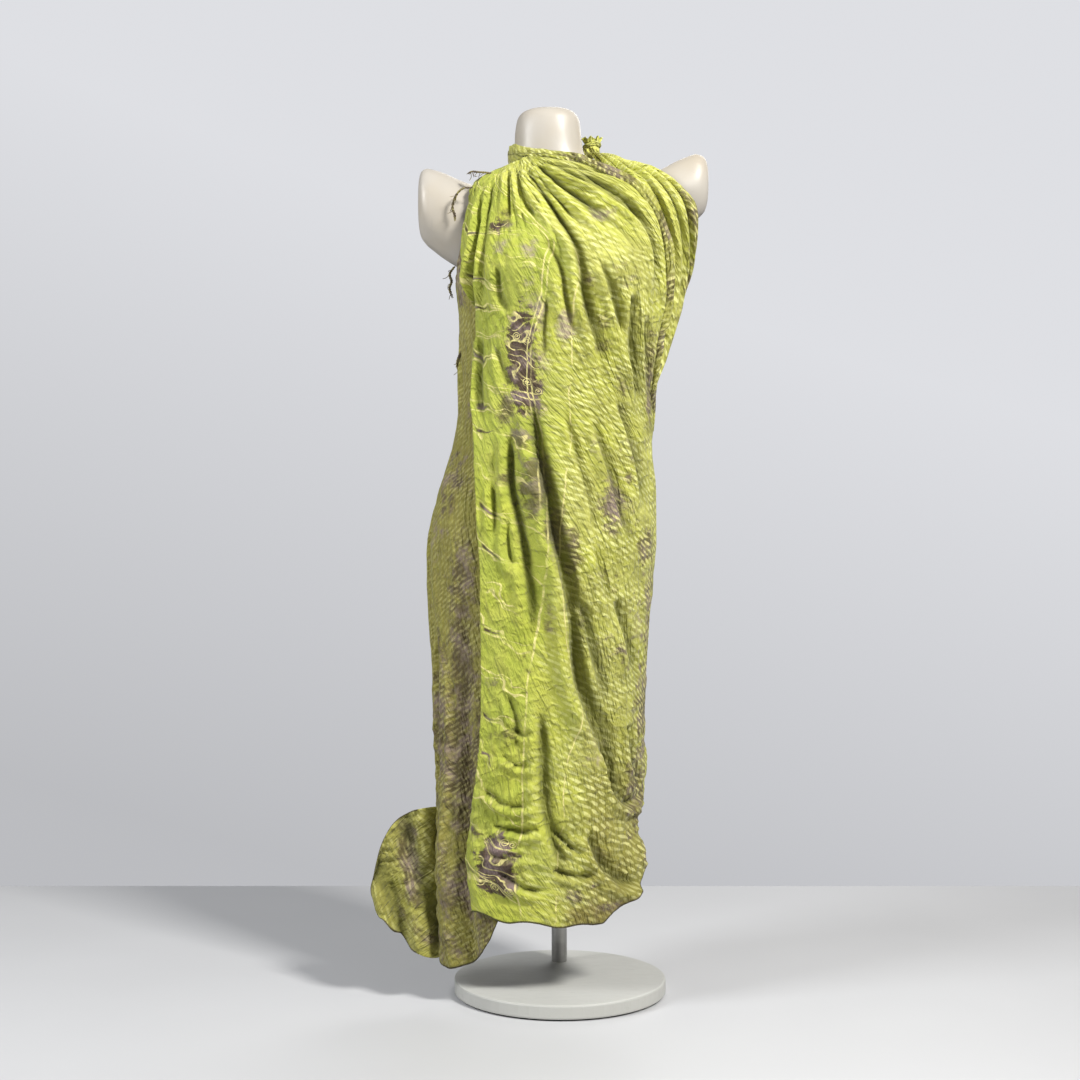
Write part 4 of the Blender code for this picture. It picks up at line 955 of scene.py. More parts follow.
def make_stand_paint(stand):
    """Powder-coated steel plate: fine orange peel, with scuffs."""
    recipe = Recipe("powder_coated_plate")
    place = recipe.node("ShaderNodeTexCoord").outputs["Object"]
    peel = recipe.noise(place, 520.0, 2.0)
    scuff = recipe.noise(recipe.stretched(place, 34.0, 90.0, 60.0), 1.0, 5.0, 0.65)
    worn = tuple(channel * 0.84 for channel in stand.paint_colour)
    colour = recipe.mix(recipe.ease(scuff, 0.60, 0.74, 0.0, 0.55), tuple(stand.paint_colour), worn)
    recipe.relief(peel, 0.16, 0.0008)
    recipe.set(Base_Color=colour, Roughness=recipe.ease(scuff, 0.3, 0.7, 0.36, 0.52))
    return recipe.material


def make_pole_steel(stand):
    """Brushed steel tube, the brushing running round it."""
    recipe = Recipe("brushed_pole_steel")
    place = recipe.node("ShaderNodeTexCoord").outputs["Object"]
    brushing = recipe.noise(recipe.stretched(place, 40.0, 40.0, 1400.0), 1.0, 3.0, 0.6)
    smear = recipe.noise(place, 30.0, 3.0)
    dull = tuple(channel * 0.72 for channel in stand.steel_colour)
    colour = recipe.mix(recipe.ease(smear, 0.35, 0.70), tuple(stand.steel_colour), dull)
    recipe.relief(brushing, 0.15, 0.0004)
    recipe.set(Base_Color=colour, Metallic=0.85, Roughness=recipe.ease(brushing, 0.3, 0.7, 0.34, 0.50))
    return recipe.material


def make_pad_rubber(stand):
    recipe = Recipe("matt_pad_rubber")
    place = recipe.node("ShaderNodeTexCoord").outputs["Object"]
    grain = recipe.noise(place, 700.0, 2.0)
    colour = recipe.mix(recipe.ease(grain, 0.4, 0.7), tuple(stand.rubber_colour), (0.05, 0.048, 0.045))
    recipe.relief(grain, 0.3, 0.0006)
    recipe.set(Base_Color=colour, Roughness=0.85)
    return recipe.material


def kept(name, make, settings):
    """The material of that name, made the first time it is asked for."""
    return bpy.data.materials.get(name) or make(settings)


def batik():
    return kept("crinkled_batik_cotton", make_batik, bpy.context.scene.sarong_cloth)


# ---------------------------------------------------------------- the cloth's pieces
FRONT_COLUMNS, ROUND_COLUMNS = 178, 176
TOP_ROWS, LOW_ROWS = 116, 150
LAP_TURN, LAP_COLUMNS = 306.0, 24  # the hidden lap under the front needs fewer columns
CORNER_FIRST, CORNER_LAST = 258.0, 291.0  # the turns where the corner grows out of the hem
SHOULDER_FLAT_WIDTH, SHOULDER_FLAT_TOP, SHOULDER_FLAT_DROP = 0.17, 0.62, 0.56


def front_grid(cloth):
    """The front stretch, from its free edge to the roll and, lower down, the side seam."""
    across = np.linspace(0, 1, FRONT_COLUMNS)
    top = follow(FRONT_TOP, across)
    foot_turn = follow(FREE_EDGE, 0.20 + 0.0 * across)
    foot = follow(HEM, foot_turn + (SIDE_SEAM - foot_turn) * across)
    foot = foot + 0.0032 * np.sin(31.0 * across) * smooth_step((1 - across) / 0.2)
    upper = top + (SPLIT_HEIGHT - top) * np.linspace(0, 1, TOP_ROWS, endpoint=False)[:, None]
    lower = SPLIT_HEIGHT + (foot - SPLIT_HEIGHT) * np.linspace(0, 1, LOW_ROWS)[:, None]
    height = np.concatenate([upper, lower])
    share = np.broadcast_to(across, height.shape)
    edge = follow(FREE_EDGE, height)
    upper_far = np.minimum(follow(ROLL_EDGE, height), SIDE_SEAM)
    far = np.where(height > SPLIT_HEIGHT + 1e-9, upper_far, SIDE_SEAM)
    turn = edge + (far - edge) * share
    flat_u, flat_v = share * FRONT_FLAT, height - CLOTH_FOOT
    points, fold_painted_shade = wrap_surface(turn, height, flat_u, cloth.crumple_depth, on_front=True)
    x, z = points[..., 0], points[..., 2]
    marks = {
        "brown": dye(FRONT_BROWN_AND_FOLD_SHADE, x, z), "mauve": dye(FRONT_MAUVE, x, z),
        # the olive mark: duller low down, and fresher and brighter above about 1.17 m, where it goes below
        # zero
        "olive": duller_low_share(x, z) - 0.60 * smooth_step((z - 1.17) / 0.14),
        "fold_painted_shade": fold_painted_shade, "edge_gap": height - foot, "patch": scroll_patches(flat_u, flat_v),
        "to_border": flat_u - follow(BORDER_LINE, flat_v), "to_second": flat_u - follow(SECOND_LINE, flat_v),
    }
    return points, np.stack([flat_u, flat_v], axis=-1), marks


def duller_low_share(x, z):
    """Where the front stretch is drawn duller: low on the +X side and over the low field, and below the hem's
    turned line.
    """
    low_side = 0.55 * smooth_step((x - 0.115) / 0.05) * smooth_step((0.75 - z) / 0.3)
    low_field = 0.72 * smooth_step((x - 0.02) / 0.04) * smooth_step((0.56 - z) / 0.32)
    line = 0.192 + 0.10 * (x - 0.07)
    below_line = 1.10 * smooth_step((line - z) / 0.020) * smooth_step((x + 0.005) / 0.03)
    return np.maximum(np.maximum(low_side, low_field), below_line)


def scroll_patches(flat_u, flat_v):
    """The two dark grounds of the border's scrollwork, and the small one over the chest."""
    middle = np.interp(flat_v, (0.825, 1.02), (0.098, 0.114))
    upper = np.exp(-0.5 * (((flat_u - middle) / 0.021) ** 2 + ((flat_v - 0.922) / 0.082) ** 4))
    lower = np.exp(-0.5 * (((flat_u - 0.056) / 0.023) ** 2 + ((flat_v - 0.102) / 0.046) ** 4))
    small = 0.62 * np.exp(-0.5 * (((flat_u - 0.086) / 0.016) ** 2 + ((flat_v - 1.140) / 0.022) ** 2))
    return np.maximum(np.maximum(upper, lower), small)


def round_grid(cloth):
    """The back and side stretches, from the side seam round to the hidden inner end."""
    turns = np.concatenate(
        [
            np.linspace(SIDE_SEAM, LAP_TURN, ROUND_COLUMNS - 12),
            np.linspace(LAP_TURN + 1.6, INNER_END, LAP_COLUMNS),
        ]
    )
    turn, down = np.meshgrid(turns, np.linspace(0, 1, LOW_ROWS))
    top, foot = follow(BACK_TOP, turn), follow(HEM, turn)
    height = top + (foot - top) * down
    flat_u = FRONT_FLAT + (turn - SIDE_SEAM) * FLAT_PER_TURN
    points, fold_painted_shade = wrap_surface(turn, height, flat_u, cloth.crumple_depth)
    at_corner = (turn > CORNER_FIRST) & (turn < CORNER_LAST)
    marks = {
        "brown": dye(ROUND_BROWN_AND_GAP_SHADE, turn, height), "mauve": dye(ROUND_MAUVE, turn, height),
        "olive": 0.25 + 0.60 * smooth_step((turn - 232.0) / 40.0),
        "turned": smooth_step((turn - 205.0) / 20.0), "fold_painted_shade": fold_painted_shade,
        "edge_gap": np.where(at_corner, 0.05, height - foot),
    }
    return points, np.stack([flat_u, height - CLOTH_FOOT], axis=-1), marks


def build_wrap_cloth(cloth):
    """The front stretch, and the back and side stretches that meet it at the side seam."""
    front_points, front_flat, front_marks = front_grid(cloth)
    round_points, round_flat, round_marks = round_grid(cloth)
    round_points[:, 0] = front_points[TOP_ROWS:, -1]
    for name, points, flat, marks in (
        ("front_cloth", front_points, front_flat, front_marks),
        ("round_cloth", round_points, round_flat, round_marks),
    ):
        index = np.arange(points[..., 0].size).reshape(points[..., 0].shape)
        piece = make_piece(name, points, grid_faces(index), batik(), flat, marks)
        add_wall(piece, cloth.wall)
    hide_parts("front_fall")
    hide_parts("back_wrap", "side_wrap")


def build_hem_corner(cloth):
    """The cloth's lower corner, which kicks out where the side stretch leaves off."""
    across, down = np.meshgrid(np.linspace(0, 1, 60), np.linspace(0, 1, 64))
    shares = [row.share for row in HEM_CORNER]
    x, y_top, z_top, y_foot, z_foot = [
        follow(list(zip(shares, [getattr(row, field) for row in HEM_CORNER])), across)
        for field in ("x", "y_top", "z_top", "y_foot", "z_foot")
    ]
    z = z_top + (z_foot - z_top) * down
    y = y_top + (y_foot - y_top) * down + 0.012 * np.sin(math.pi * down) * (0.4 + across)
    y = y + 0.008 * np.cos(2 * math.pi * 1.6 * across + 0.8) * smooth_step(down / 0.4)
    x = x - 0.004 * np.sin(math.pi * down) * across
    flat_u = FRONT_FLAT + (CORNER_TURN - SIDE_SEAM) * FLAT_PER_TURN + 0.118 * across
    flat_v = z - CLOTH_FOOT
    slant = across + 0.55 * down
    billow = np.cos(2 * math.pi * 1.9 * slant) * smooth_step(across / 0.2)
    y = y + 0.0085 * billow
    y = y + 1.3 * crumple(flat_u, flat_v, z, cloth.crumple_depth) * smooth_step(across / 0.2)
    z = z + 0.0022 * np.sin(2 * math.pi * 4.0 * across + 1.0) * smooth_step((down - 0.8) / 0.2)
    free = np.stack([x, y, z], axis=-1)
    turn = CORNER_TURN + 0.0 * across
    root = wrap_surface(turn, z, flat_u, cloth.crumple_depth)[0]
    root = root + girth(turn, z, 0.0 * turn)[1] * CORNER_CLEAR
    points = root + (free - root) * smooth_step(across / 0.30)[..., None]
    gap = np.minimum(np.minimum(down * 0.30, (1 - down) * 0.20), (1 - across) * 0.11 + 0.0008)
    gap = np.maximum(gap, 0.03 * (across < 0.30))
    marks = {
        "brown": dye(CORNER_BROWN, across + 0.25 * (down - 0.4), down), "olive": 0.55, "turned": 1.0,
        # painted shade where the billow sets the cloth back
        "edge_gap": gap, "fold_painted_shade": 0.8 * smooth_step((billow + 0.1) / 0.9),
    }
    index = np.arange(points[..., 0].size).reshape(points[..., 0].shape)
    lean_cosine, lean_sine = 0.89, 0.454
    flat = np.stack(
        [lean_cosine * flat_u + lean_sine * flat_v, lean_cosine * flat_v - lean_sine * flat_u], axis=-1
    )
    corner = make_piece("hem_corner_cloth", points, grid_faces(index), batik(), flat, marks)
    add_wall(corner, cloth.wall)
    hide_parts("hem_corner")
    return corner


def build_shoulder_cloth(cloth):
    """The stretch from the knot over the +X shoulder, pleated along its length."""
    columns, rows = 96, 150
    spread = np.stack([route(row, columns) for row in SHOULDER_ROWS])
    points = np.stack([route(spread[:, k], rows) for k in range(columns)], axis=1)
    share, down = np.meshgrid(np.linspace(0, 1, columns), np.linspace(0, 1, rows))
    fade = smooth_step(down / 0.20) * (0.30 + 0.70 * smooth_step((1 - down) / 0.35))
    swing = share**1.15 + 0.030 * ripple(share, down, 2.0, 5.0, 2.2)
    broad = 0.0042 * np.cos(2 * math.pi * 5.5 * swing)
    crisp = 0.0020 * np.cos(2 * math.pi * 11.0 * swing + 1.3 + 1.5 * ripple(share, down, 3.0, 6.0, 5.1))
    near_knot = 0.0020 * np.cos(2 * math.pi * 9.0 * share) * smooth_step((0.35 - down) / 0.3)
    flat_u, flat_v = share * SHOULDER_FLAT_WIDTH + 0.02, SHOULDER_FLAT_TOP - down * SHOULDER_FLAT_DROP
    creases = 0.8 * crumple(flat_u, flat_v, 1.0 + 0.0 * down, cloth.crumple_depth)
    reach = (broad + crisp) * fade + near_knot + creases
    points = points + outward_of(points) * reach[..., None]
    marks = {
        "brown": dye(SHOULDER_BROWN, share, down), "mauve": dye(SHOULDER_MAUVE, share, down),
        "olive": 0.25 * smooth_step((down - 0.6) / 0.4) - smooth_step((0.70 - down) / 0.4),
        # painted shade in the pleats' troughs
        "fold_painted_shade": 0.25 * smooth_step(-(broad + crisp) * fade / 0.0050),
    }
    index = np.arange(points[..., 0].size).reshape(points[..., 0].shape)
    flat = np.stack([flat_u + 0.30, flat_v], axis=-1)
    drape = make_piece("shoulder_cloth", points, grid_faces(index), batik(), flat, marks)
    add_wall(drape, cloth.wall)
    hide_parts("shoulder_drape")
    return drape


def folded_tube(line, heights, thicks, winds, ridges, depth, flat_round, sides=48):
    """Cloth twisted on itself: rings along a line, with folds that wind along it."""
    way = np.gradient(line, axis=0)
    way /= np.linalg.norm(way, axis=1, keepdims=True)
    side = np.cross(way, np.array([0.0, 0.0, 1.0]))
    side /= np.linalg.norm(side, axis=1, keepdims=True)
    up = np.cross(side, way)
    share = np.linspace(0, 1, len(line))[:, None]
    angles = np.linspace(0, 2 * math.pi, sides, endpoint=False)[None, :]
    wound = angles + 2 * math.pi * winds * share
    finer = np.cos((2 * ridges + 1) * wound + 1.0 + 5.0 * share)
    swell = 1.0 + depth * (np.cos(ridges * wound) + 0.55 * finer)
    swell = swell + 0.06 * ripple(np.cos(angles) + 9.0 * share, np.sin(angles) + 0.0 * share, 1.6, 1.6, 2.8)
    points = (
        line[:, None, :]
        + side[:, None, :] * (np.cos(angles) * swell * thicks[:, None] / 2)[..., None]
        + up[:, None, :] * (np.sin(angles) * swell * heights[:, None] / 2)[..., None]
    )
    length = np.concatenate([[0.0], np.cumsum(np.linalg.norm(np.diff(line, axis=0), axis=1))])
    flat = np.stack(np.broadcast_arrays(0.36 + flat_round * wound, length[:, None] + 0.0 * wound), axis=-1)
    return points, flat


def build_tube(name, points, flat, brown, fresh, cad_nodes):
    """A capped tube of the batik, which stands for the frame's nodes named."""
    shape = points[..., 0].shape
    index = np.arange(points[..., 0].size).reshape(shape)
    marks = {"brown": brown * np.ones(shape), "olive": fresh}
    tube = make_piece(name, points, grid_faces(index, True), batik(), flat, marks)
    cap_ends(tube)
    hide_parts(*cad_nodes)
    return tube


def build_neck_band():
    """The cloth's gathered corner round the neck, folded over on itself."""
    path = route(NECK_BAND, 190)
    swell = 1.0 + 0.05 * np.sin(np.linspace(0, 34, len(path)))
    points, flat = folded_tube(
        path[:, :3], path[:, 3] * swell, path[:, 4] * swell, winds=1.3, ridges=2, depth=0.20, flat_round=0.012
    )
    brown = (0.30 + 0.34 * np.sin(np.linspace(0, 15, len(path))))[:, None]
    build_tube("neck_band_cloth", points, flat, brown, 0.1, ["neck_band"])


def build_edge_roll():
    """The front stretch's far edge, rolled over on itself, from the neck to the +X side."""
    heights = np.linspace(*EDGE_ROLL_HEIGHTS, 200)
    turns = follow(ROLL_EDGE, heights)
    line, out = girth(turns, heights, -LAP_GAP * turns / 360.0)
    line = line + out * bust_reach(line[:, 0], line[:, 2])[:, None]
    way = np.gradient(line, axis=0)
    way /= np.linalg.norm(way, axis=1, keepdims=True)
    away = np.cross(out, way)
    away /= np.linalg.norm(away, axis=1, keepdims=True)
    line = line + away * EDGE_ROLL_RADIUS * 0.65 + out * 0.0022
    share = np.linspace(0, 1, len(line))
    thick = 2 * EDGE_ROLL_RADIUS * (1.0 - 0.40 * smooth_step((share - 0.6) / 0.4))
    points, flat = folded_tube(
        line, thick * 1.15, thick, winds=2.2, ridges=2, depth=0.20, flat_round=0.0065, sides=28
    )
    brown = (0.46 + 0.34 * np.sin(share * 30.0))[:, None]
    build_tube("edge_roll_cloth", points, flat, brown, 0.2, ["edge_roll"])


def build_knot():
    """The tied corners: a ball wound by its own cloth, a loop round it and two frilled ends."""
    turn, rise = np.meshgrid(np.linspace(0, 2 * math.pi, 72, endpoint=False), np.linspace(0.02, 0.98, 44))
    slope = rise * math.pi
    swell = 1.0 + 0.10 * np.cos(3 * turn + 2.0 * slope) + 0.05 * np.cos(9 * turn + 5.0 * slope)
    radius = KNOT_RADIUS * np.sin(slope) * swell
    lift = -KNOT_RADIUS * 0.84 * np.cos(slope)
    ball = np.stack([radius * np.cos(turn), radius * np.sin(turn), lift], axis=-1) + np.array(KNOT_CENTRE)
    flat = np.stack([0.40 + 0.012 * turn, 0.50 + 0.04 * rise], axis=-1)
    build_tube("knot_cloth", ball, flat, 0.0, -1.0, ["knot"])
    angle = np.linspace(0, 2 * math.pi, 64)
    loop = np.stack(
        [
            KNOT_CENTRE.x + 0.0130 * np.cos(angle), KNOT_CENTRE.y + 0.0135 * np.sin(angle),
            KNOT_CENTRE.z + 0.0085 + 0.0030 * np.cos(angle + 0.6),
        ],
        axis=-1,
    )
    tall, thick = np.full(len(loop), 0.0075), np.full(len(loop), 0.0062)
    points, loop_flat = folded_tube(
        loop, tall, thick, winds=1.0, ridges=3, depth=0.16, flat_round=0.006, sides=20
    )
    build_tube("knot_loop_cloth", points, loop_flat, 0.0, -1.0, [])
    build_frill(
        "knot_end_front_cloth", "knot_end_front", shift=-0.0052, length=0.0125, set_back=-0.006, start=0.4
    )
    build_frill(
        "knot_end_back_cloth", "knot_end_back", shift=0.0056, length=0.0150, set_back=0.005, start=1.7
    )


def build_frill(name, cad_node, shift, length, set_back, start):
    """A short tied end: a pleated trumpet of cloth that opens into a ruffled rim."""
    cloth = bpy.context.scene.sarong_cloth
    turn, rise = np.meshgrid(np.linspace(0, 2 * math.pi, 110, endpoint=False), np.linspace(0, 1, 30))
    ruffle = np.cos(7 * turn + start) + 0.5 * np.cos(12 * turn + 2.0 * start)
    radius = 0.0048 + 0.0062 * rise**0.7 + 0.0026 * rise * ruffle
    x = KNOT_CENTRE.x + shift * (0.62 + 0.75 * rise) + radius * np.cos(turn) * 0.80
    y = KNOT_CENTRE.y + set_back * rise + radius * np.sin(turn)
    z = KNOT_CENTRE.z + KNOT_RADIUS * 0.55 + length * rise**1.4 + 0.0026 * rise * np.sin(5 * turn + start)
    points = np.stack([x, y, z], axis=-1)
    index = np.arange(points[..., 0].size).reshape(points[..., 0].shape)
    flat = np.stack([0.40 + 0.006 * turn, 0.30 + rise * length], axis=-1)
    frill = make_piece(name, points, grid_faces(index, True), batik(), flat, {"olive": -1.0})
    add_wall(frill, cloth.wall * 0.8)
    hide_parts(cad_node)
    return frill


def yarn_tube(line, radius, sides=8):
    """Rings of a yarn along a line, thinning to a frayed tip."""
    way = np.gradient(line, axis=0)
    way /= np.linalg.norm(way, axis=1, keepdims=True)
    side = np.cross(way, np.array([0.37, 0.86, 0.35]))
    side /= np.linalg.norm(side, axis=1, keepdims=True)
    up = np.cross(side, way)
    angles = np.linspace(0, 2 * math.pi, sides, endpoint=False)
    ring = side[:, None, :] * np.cos(angles)[None, :, None] + up[:, None, :] * np.sin(angles)[None, :, None]
    taper = np.minimum(1.0, 0.35 + 4.0 * np.linspace(1, 0, len(line)))
    return line[:, None, :] + ring * (radius * taper)[:, None, None]


PLY_TURNS = 6.5       # how often a twist's two plies go round each other
PLY_RADIUS = 0.0013
LOOSE_YARNS = 7
LOOSE_RADIUS = 0.00055


def build_fringe(cloth):
    """Each fringe twist is two plies wound together, with loose yarns fraying off it."""
    yarn = kept("frayed_fringe_yarn", make_fringe_yarn, cloth)
    picker = np.random.default_rng(7)
    for name, spots in TWISTS.items():
        line = route(spots, 70)
        share = np.linspace(0, 1, len(line))
        strands = []
        for ply in range(2):
            angle = math.pi * ply + 2 * math.pi * PLY_TURNS * share
            swing = np.stack([np.cos(angle), np.sin(angle), 0.5 * np.sin(angle + 0.7)], axis=-1)
            strands.append(yarn_tube(line + PLY_RADIUS * swing, PLY_RADIUS))
        for _ in range(LOOSE_YARNS):
            start = picker.uniform(0.1, 0.95)
            root = line[int(start * (len(line) - 1))]
            kick = picker.normal(0, 1, 3) * (0.0050, 0.0035, 0.0050) + (-0.0030, -0.001, -0.0060)
            bend = picker.normal(0, 1, 3) * 0.0022
            loose = route([root, root + 0.5 * kick + bend, root + kick], 16)
            strands.append(yarn_tube(loose, LOOSE_RADIUS, 5))
        points, faces, count = [], [], 0
        for strand in strands:
            index = count + np.arange(strand[..., 0].size).reshape(strand[..., 0].shape)
            faces.extend(grid_faces(index, True).tolist())
            faces.append(index[0].tolist())
            faces.append(index[-1][::-1].tolist())
            points.append(strand.reshape(-1, 3))
            count += strand[..., 0].size
        piece = make_piece(name + "_yarn", np.concatenate(points), [], yarn)
        rebuild_faces(piece, np.concatenate(points), faces)
        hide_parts(name)


def rebuild_faces(piece, points, faces):
    """Gives a piece faces of mixed sizes, all turned outwards."""
    piece.data.clear_geometry()
    piece.data.from_pydata(points.tolist(), [], faces)
    work = bmesh.new()
    work.from_mesh(piece.data)
    bmesh.ops.recalc_face_normals(work, faces=work.faces)
    work.to_mesh(piece.data)
    work.free()
    piece.data.shade_smooth()


# ---------------------------------------------------------------- the form, stand and stage
def build_dress_form(form):
    """The torso, skinned over the frame's one and smoothed so that no facet shows."""
    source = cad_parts["dress_form"]
    copy = bpy.data.objects.new("dress_form_shell", source.data.copy())
    bpy.context.scene.collection.objects.link(copy)
    skin = copy.modifiers.new("skin", "REMESH")
    skin.mode = "VOXEL"
    skin.voxel_size = form.voxel
    smooth = copy.modifiers.new("smooth", "SMOOTH")
    smooth.factor = 0.5
    smooth.iterations = 14
    graph = bpy.context.evaluated_depsgraph_get()
    finished = bpy.data.meshes.new_from_object(copy.evaluated_get(graph))
    copy.modifiers.clear()
    copy.data = finished
    copy.data.materials.clear()
    copy.data.materials.append(kept("glossy_form_shell", make_form_shell, form))
    copy.data.shade_smooth()
    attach(copy, "root")
    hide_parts("dress_form")


def finish_stand(stand):
    """Gives the frame's own base, pole and pad their finishes."""
    finishes = (
        ("stand_base", "powder_coated_plate", make_stand_paint),
        ("stand_pole", "brushed_pole_steel", make_pole_steel),
        ("base_pad", "matt_pad_rubber", make_pad_rubber),
    )
    for node, name, make in finishes:
        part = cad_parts[node]
        part.data.materials.clear()
        part.data.materials.append(kept(name, make, stand))


def add_area_light(name, place, target, size, power, colour):
    lamp = bpy.data.lights.new(name, "AREA")
    lamp.shape = "RECTANGLE"
    lamp.size, lamp.size_y = size
    lamp.energy = power
    lamp.color = colour
    holder = bpy.data.objects.new(name, lamp)
    bpy.context.scene.collection.objects.link(holder)
    holder.location = place
    aim = np.array(target) - np.array(place)
    holder.rotation_euler = (
        math.acos(-aim[2] / np.linalg.norm(aim)), 0.0, math.atan2(aim[1], aim[0]) - math.pi / 2,
    )


def make_surroundings(stage):
    """The pale wall that the camera sees, with painted shade darkening it towards the lower left, and the
    dimmer light that it sheds on the cloth.
    """
    world = bpy.data.worlds.new("pale_surroundings")
    world.use_nodes = True
    tree = world.node_tree
    shed = tree.nodes["Background"]
    shed.inputs["Color"].default_value = (*stage.backdrop_colour, 1.0)
    shed.inputs["Strength"].default_value = stage.ambient
    seen = tree.nodes.new("ShaderNodeBackground")
    place = tree.nodes.new("ShaderNodeTexCoord")
    parts = tree.nodes.new("ShaderNodeSeparateXYZ")
    # Painted shade on the seen wall: its brightness falls towards the lower left.
    rise = tree.nodes.new("ShaderNodeMath")
    rise.operation = "MULTIPLY_ADD"
    rise.inputs[1].default_value = 0.34
    ramp = tree.nodes.new("ShaderNodeMapRange")
    ramp.inputs["From Min"].default_value = -0.24
    ramp.inputs["From Max"].default_value = 0.17
    ramp.inputs["To Min"].default_value = 0.68
    ramp.inputs["To Max"].default_value = 1.0
    seen.inputs["Color"].default_value = (*stage.backdrop_colour, 1.0)
    tree.links.new(place.outputs["Generated"], parts.inputs[0])
    tree.links.new(parts.outputs[0], rise.inputs[0])
    tree.links.new(parts.outputs[2], rise.inputs[2])
    tree.links.new(rise.outputs[0], ramp.inputs["Value"])
    tree.links.new(ramp.outputs[0], seen.inputs["Strength"])
    chooser = tree.nodes.new("ShaderNodeMixShader")
    rays = tree.nodes.new("ShaderNodeLightPath")
    tree.links.new(rays.outputs["Is Camera Ray"], chooser.inputs[0])
    tree.links.new(shed.outputs[0], chooser.inputs[1])
    tree.links.new(seen.outputs[0], chooser.inputs[2])
    tree.links.new(chooser.outputs[0], tree.nodes["World Output"].inputs["Surface"])
    return world


def build_stage(stage):
    """Pale floor, pale surroundings, three soft lights and the camera."""
    half, near, far = stage.floor_half_width, -stage.floor_near_edge, stage.floor_far_edge
    corners = [(-half, near, 0.0), (half, near, 0.0), (half, far, 0.0), (-half, far, 0.0)]
    recipe = Recipe("pale_studio_floor")
    place = recipe.node("ShaderNodeTexCoord").outputs["Object"]
    cloudy = recipe.noise(place, 1.6, 3.0)
    shade = tuple(channel * 0.96 for channel in stage.floor_colour)
    colour = recipe.mix(recipe.ease(cloudy, 0.3, 0.7), tuple(stage.floor_colour), shade)
    recipe.set(Base_Color=colour, Roughness=0.5)
    mesh = bpy.data.meshes.new("studio_floor")
    mesh.from_pydata(corners, [], [(0, 1, 2, 3)])
    mesh.materials.append(recipe.material)
    floor = bpy.data.objects.new("studio_floor", mesh)
    bpy.context.scene.collection.objects.link(floor)

    bpy.context.scene.world = make_surroundings(stage)
    middle = (0.0, 0.0, 0.85)
    add_area_light("key_light", (1.9, -2.2, 3.2), middle, (0.7, 0.7), stage.key_power, (1.0, 0.985, 0.95))
    add_area_light("fill_light", (-2.6, -1.4, 2.4), middle, (1.0, 1.0), stage.fill_power, (0.97, 0.985, 1.0))
    add_area_light("back_light", (0.8, 2.4, 2.6), middle, (1.6, 1.6), stage.back_power, (1.0, 1.0, 1.0))

    lens = bpy.data.cameras.new("front_camera")
    lens.sensor_width = 36.0
    lens.lens = stage.lens
    camera = bpy.data.objects.new("front_camera", lens)
    bpy.context.scene.collection.objects.link(camera)
    camera.location = (stage.camera_side, -stage.camera_distance, stage.camera_height)
    camera.rotation_euler = (math.radians(90.0), 0.0, 0.0)
    bpy.context.scene.camera = camera
    bpy.context.scene.view_settings.view_transform = "Standard"


# ---------------------------------------------------------------- settings
def colour_setting(name, description, default):
    return FloatVectorProperty(
        name=name, description=description, default=default, subtype="COLOR", size=3, min=0.0, max=1.0
    )


def length_setting(name, description, default):
    return FloatProperty(name=name, description=description, default=default, unit="LENGTH", min=0.0)


class SarongClothSettings(bpy.types.PropertyGroup):
    wall: length_setting("Cloth wall", "Thickness of the cotton with its nap", 0.0009)
    crumple_depth: length_setting("Crumple depth", "How far wear creases lift the cloth", 0.0029)
    lime: colour_setting("Lime", "Main ground", (0.490, 0.510, 0.070))
    young_leaf: colour_setting("Young leaf", "Yellower ground", (0.560, 0.560, 0.130))
    leaf_green: colour_setting("Leaf green", "Greener ground of the border", (0.310, 0.360, 0.040))
    moss: colour_setting("Moss", "Green between the wax strokes", (0.275, 0.270, 0.058))
    olive: colour_setting("Olive", "Browned green of the inner stretch", (0.190, 0.155, 0.036))
    pale_lime: colour_setting("Pale lime", "Wax strokes over the lime", (0.740, 0.745, 0.300))
    wax_cream: colour_setting("Wax cream", "Lines that the wax kept undyed", (0.740, 0.665, 0.270))
    bark_brown: colour_setting("Bark brown", "Darkest dye", (0.070, 0.046, 0.028))
    mauve: colour_setting("Mauve", "Faint purple stains", (0.330, 0.245, 0.235))
    # Painted shade colour for the bottoms of the folds, not a dye.
    painted_shade_colour: colour_setting("Fold shade", "Dulled dye at the bottom of the folds", (0.070, 0.074, 0.018))
    hem_thread: colour_setting("Hem thread", "Overlock stitching along the edges", (0.060, 0.045, 0.025))


class DressFormSettings(bpy.types.PropertyGroup):
    voxel: length_setting("Skin detail", "Size of the skin's faces", 0.0055)
    shell_colour: colour_setting("Shell", "Colour of the moulded shell", (0.404, 0.375, 0.331))


class StandSettings(bpy.types.PropertyGroup):
    paint_colour: colour_setting("Plate", "Powder coat of the base plate", (0.450, 0.450, 0.420))
    steel_colour: colour_setting("Pole", "Steel of the pole", (0.420, 0.415, 0.400))
    rubber_colour: colour_setting("Pad", "Rubber under the plate", (0.022, 0.021, 0.020))


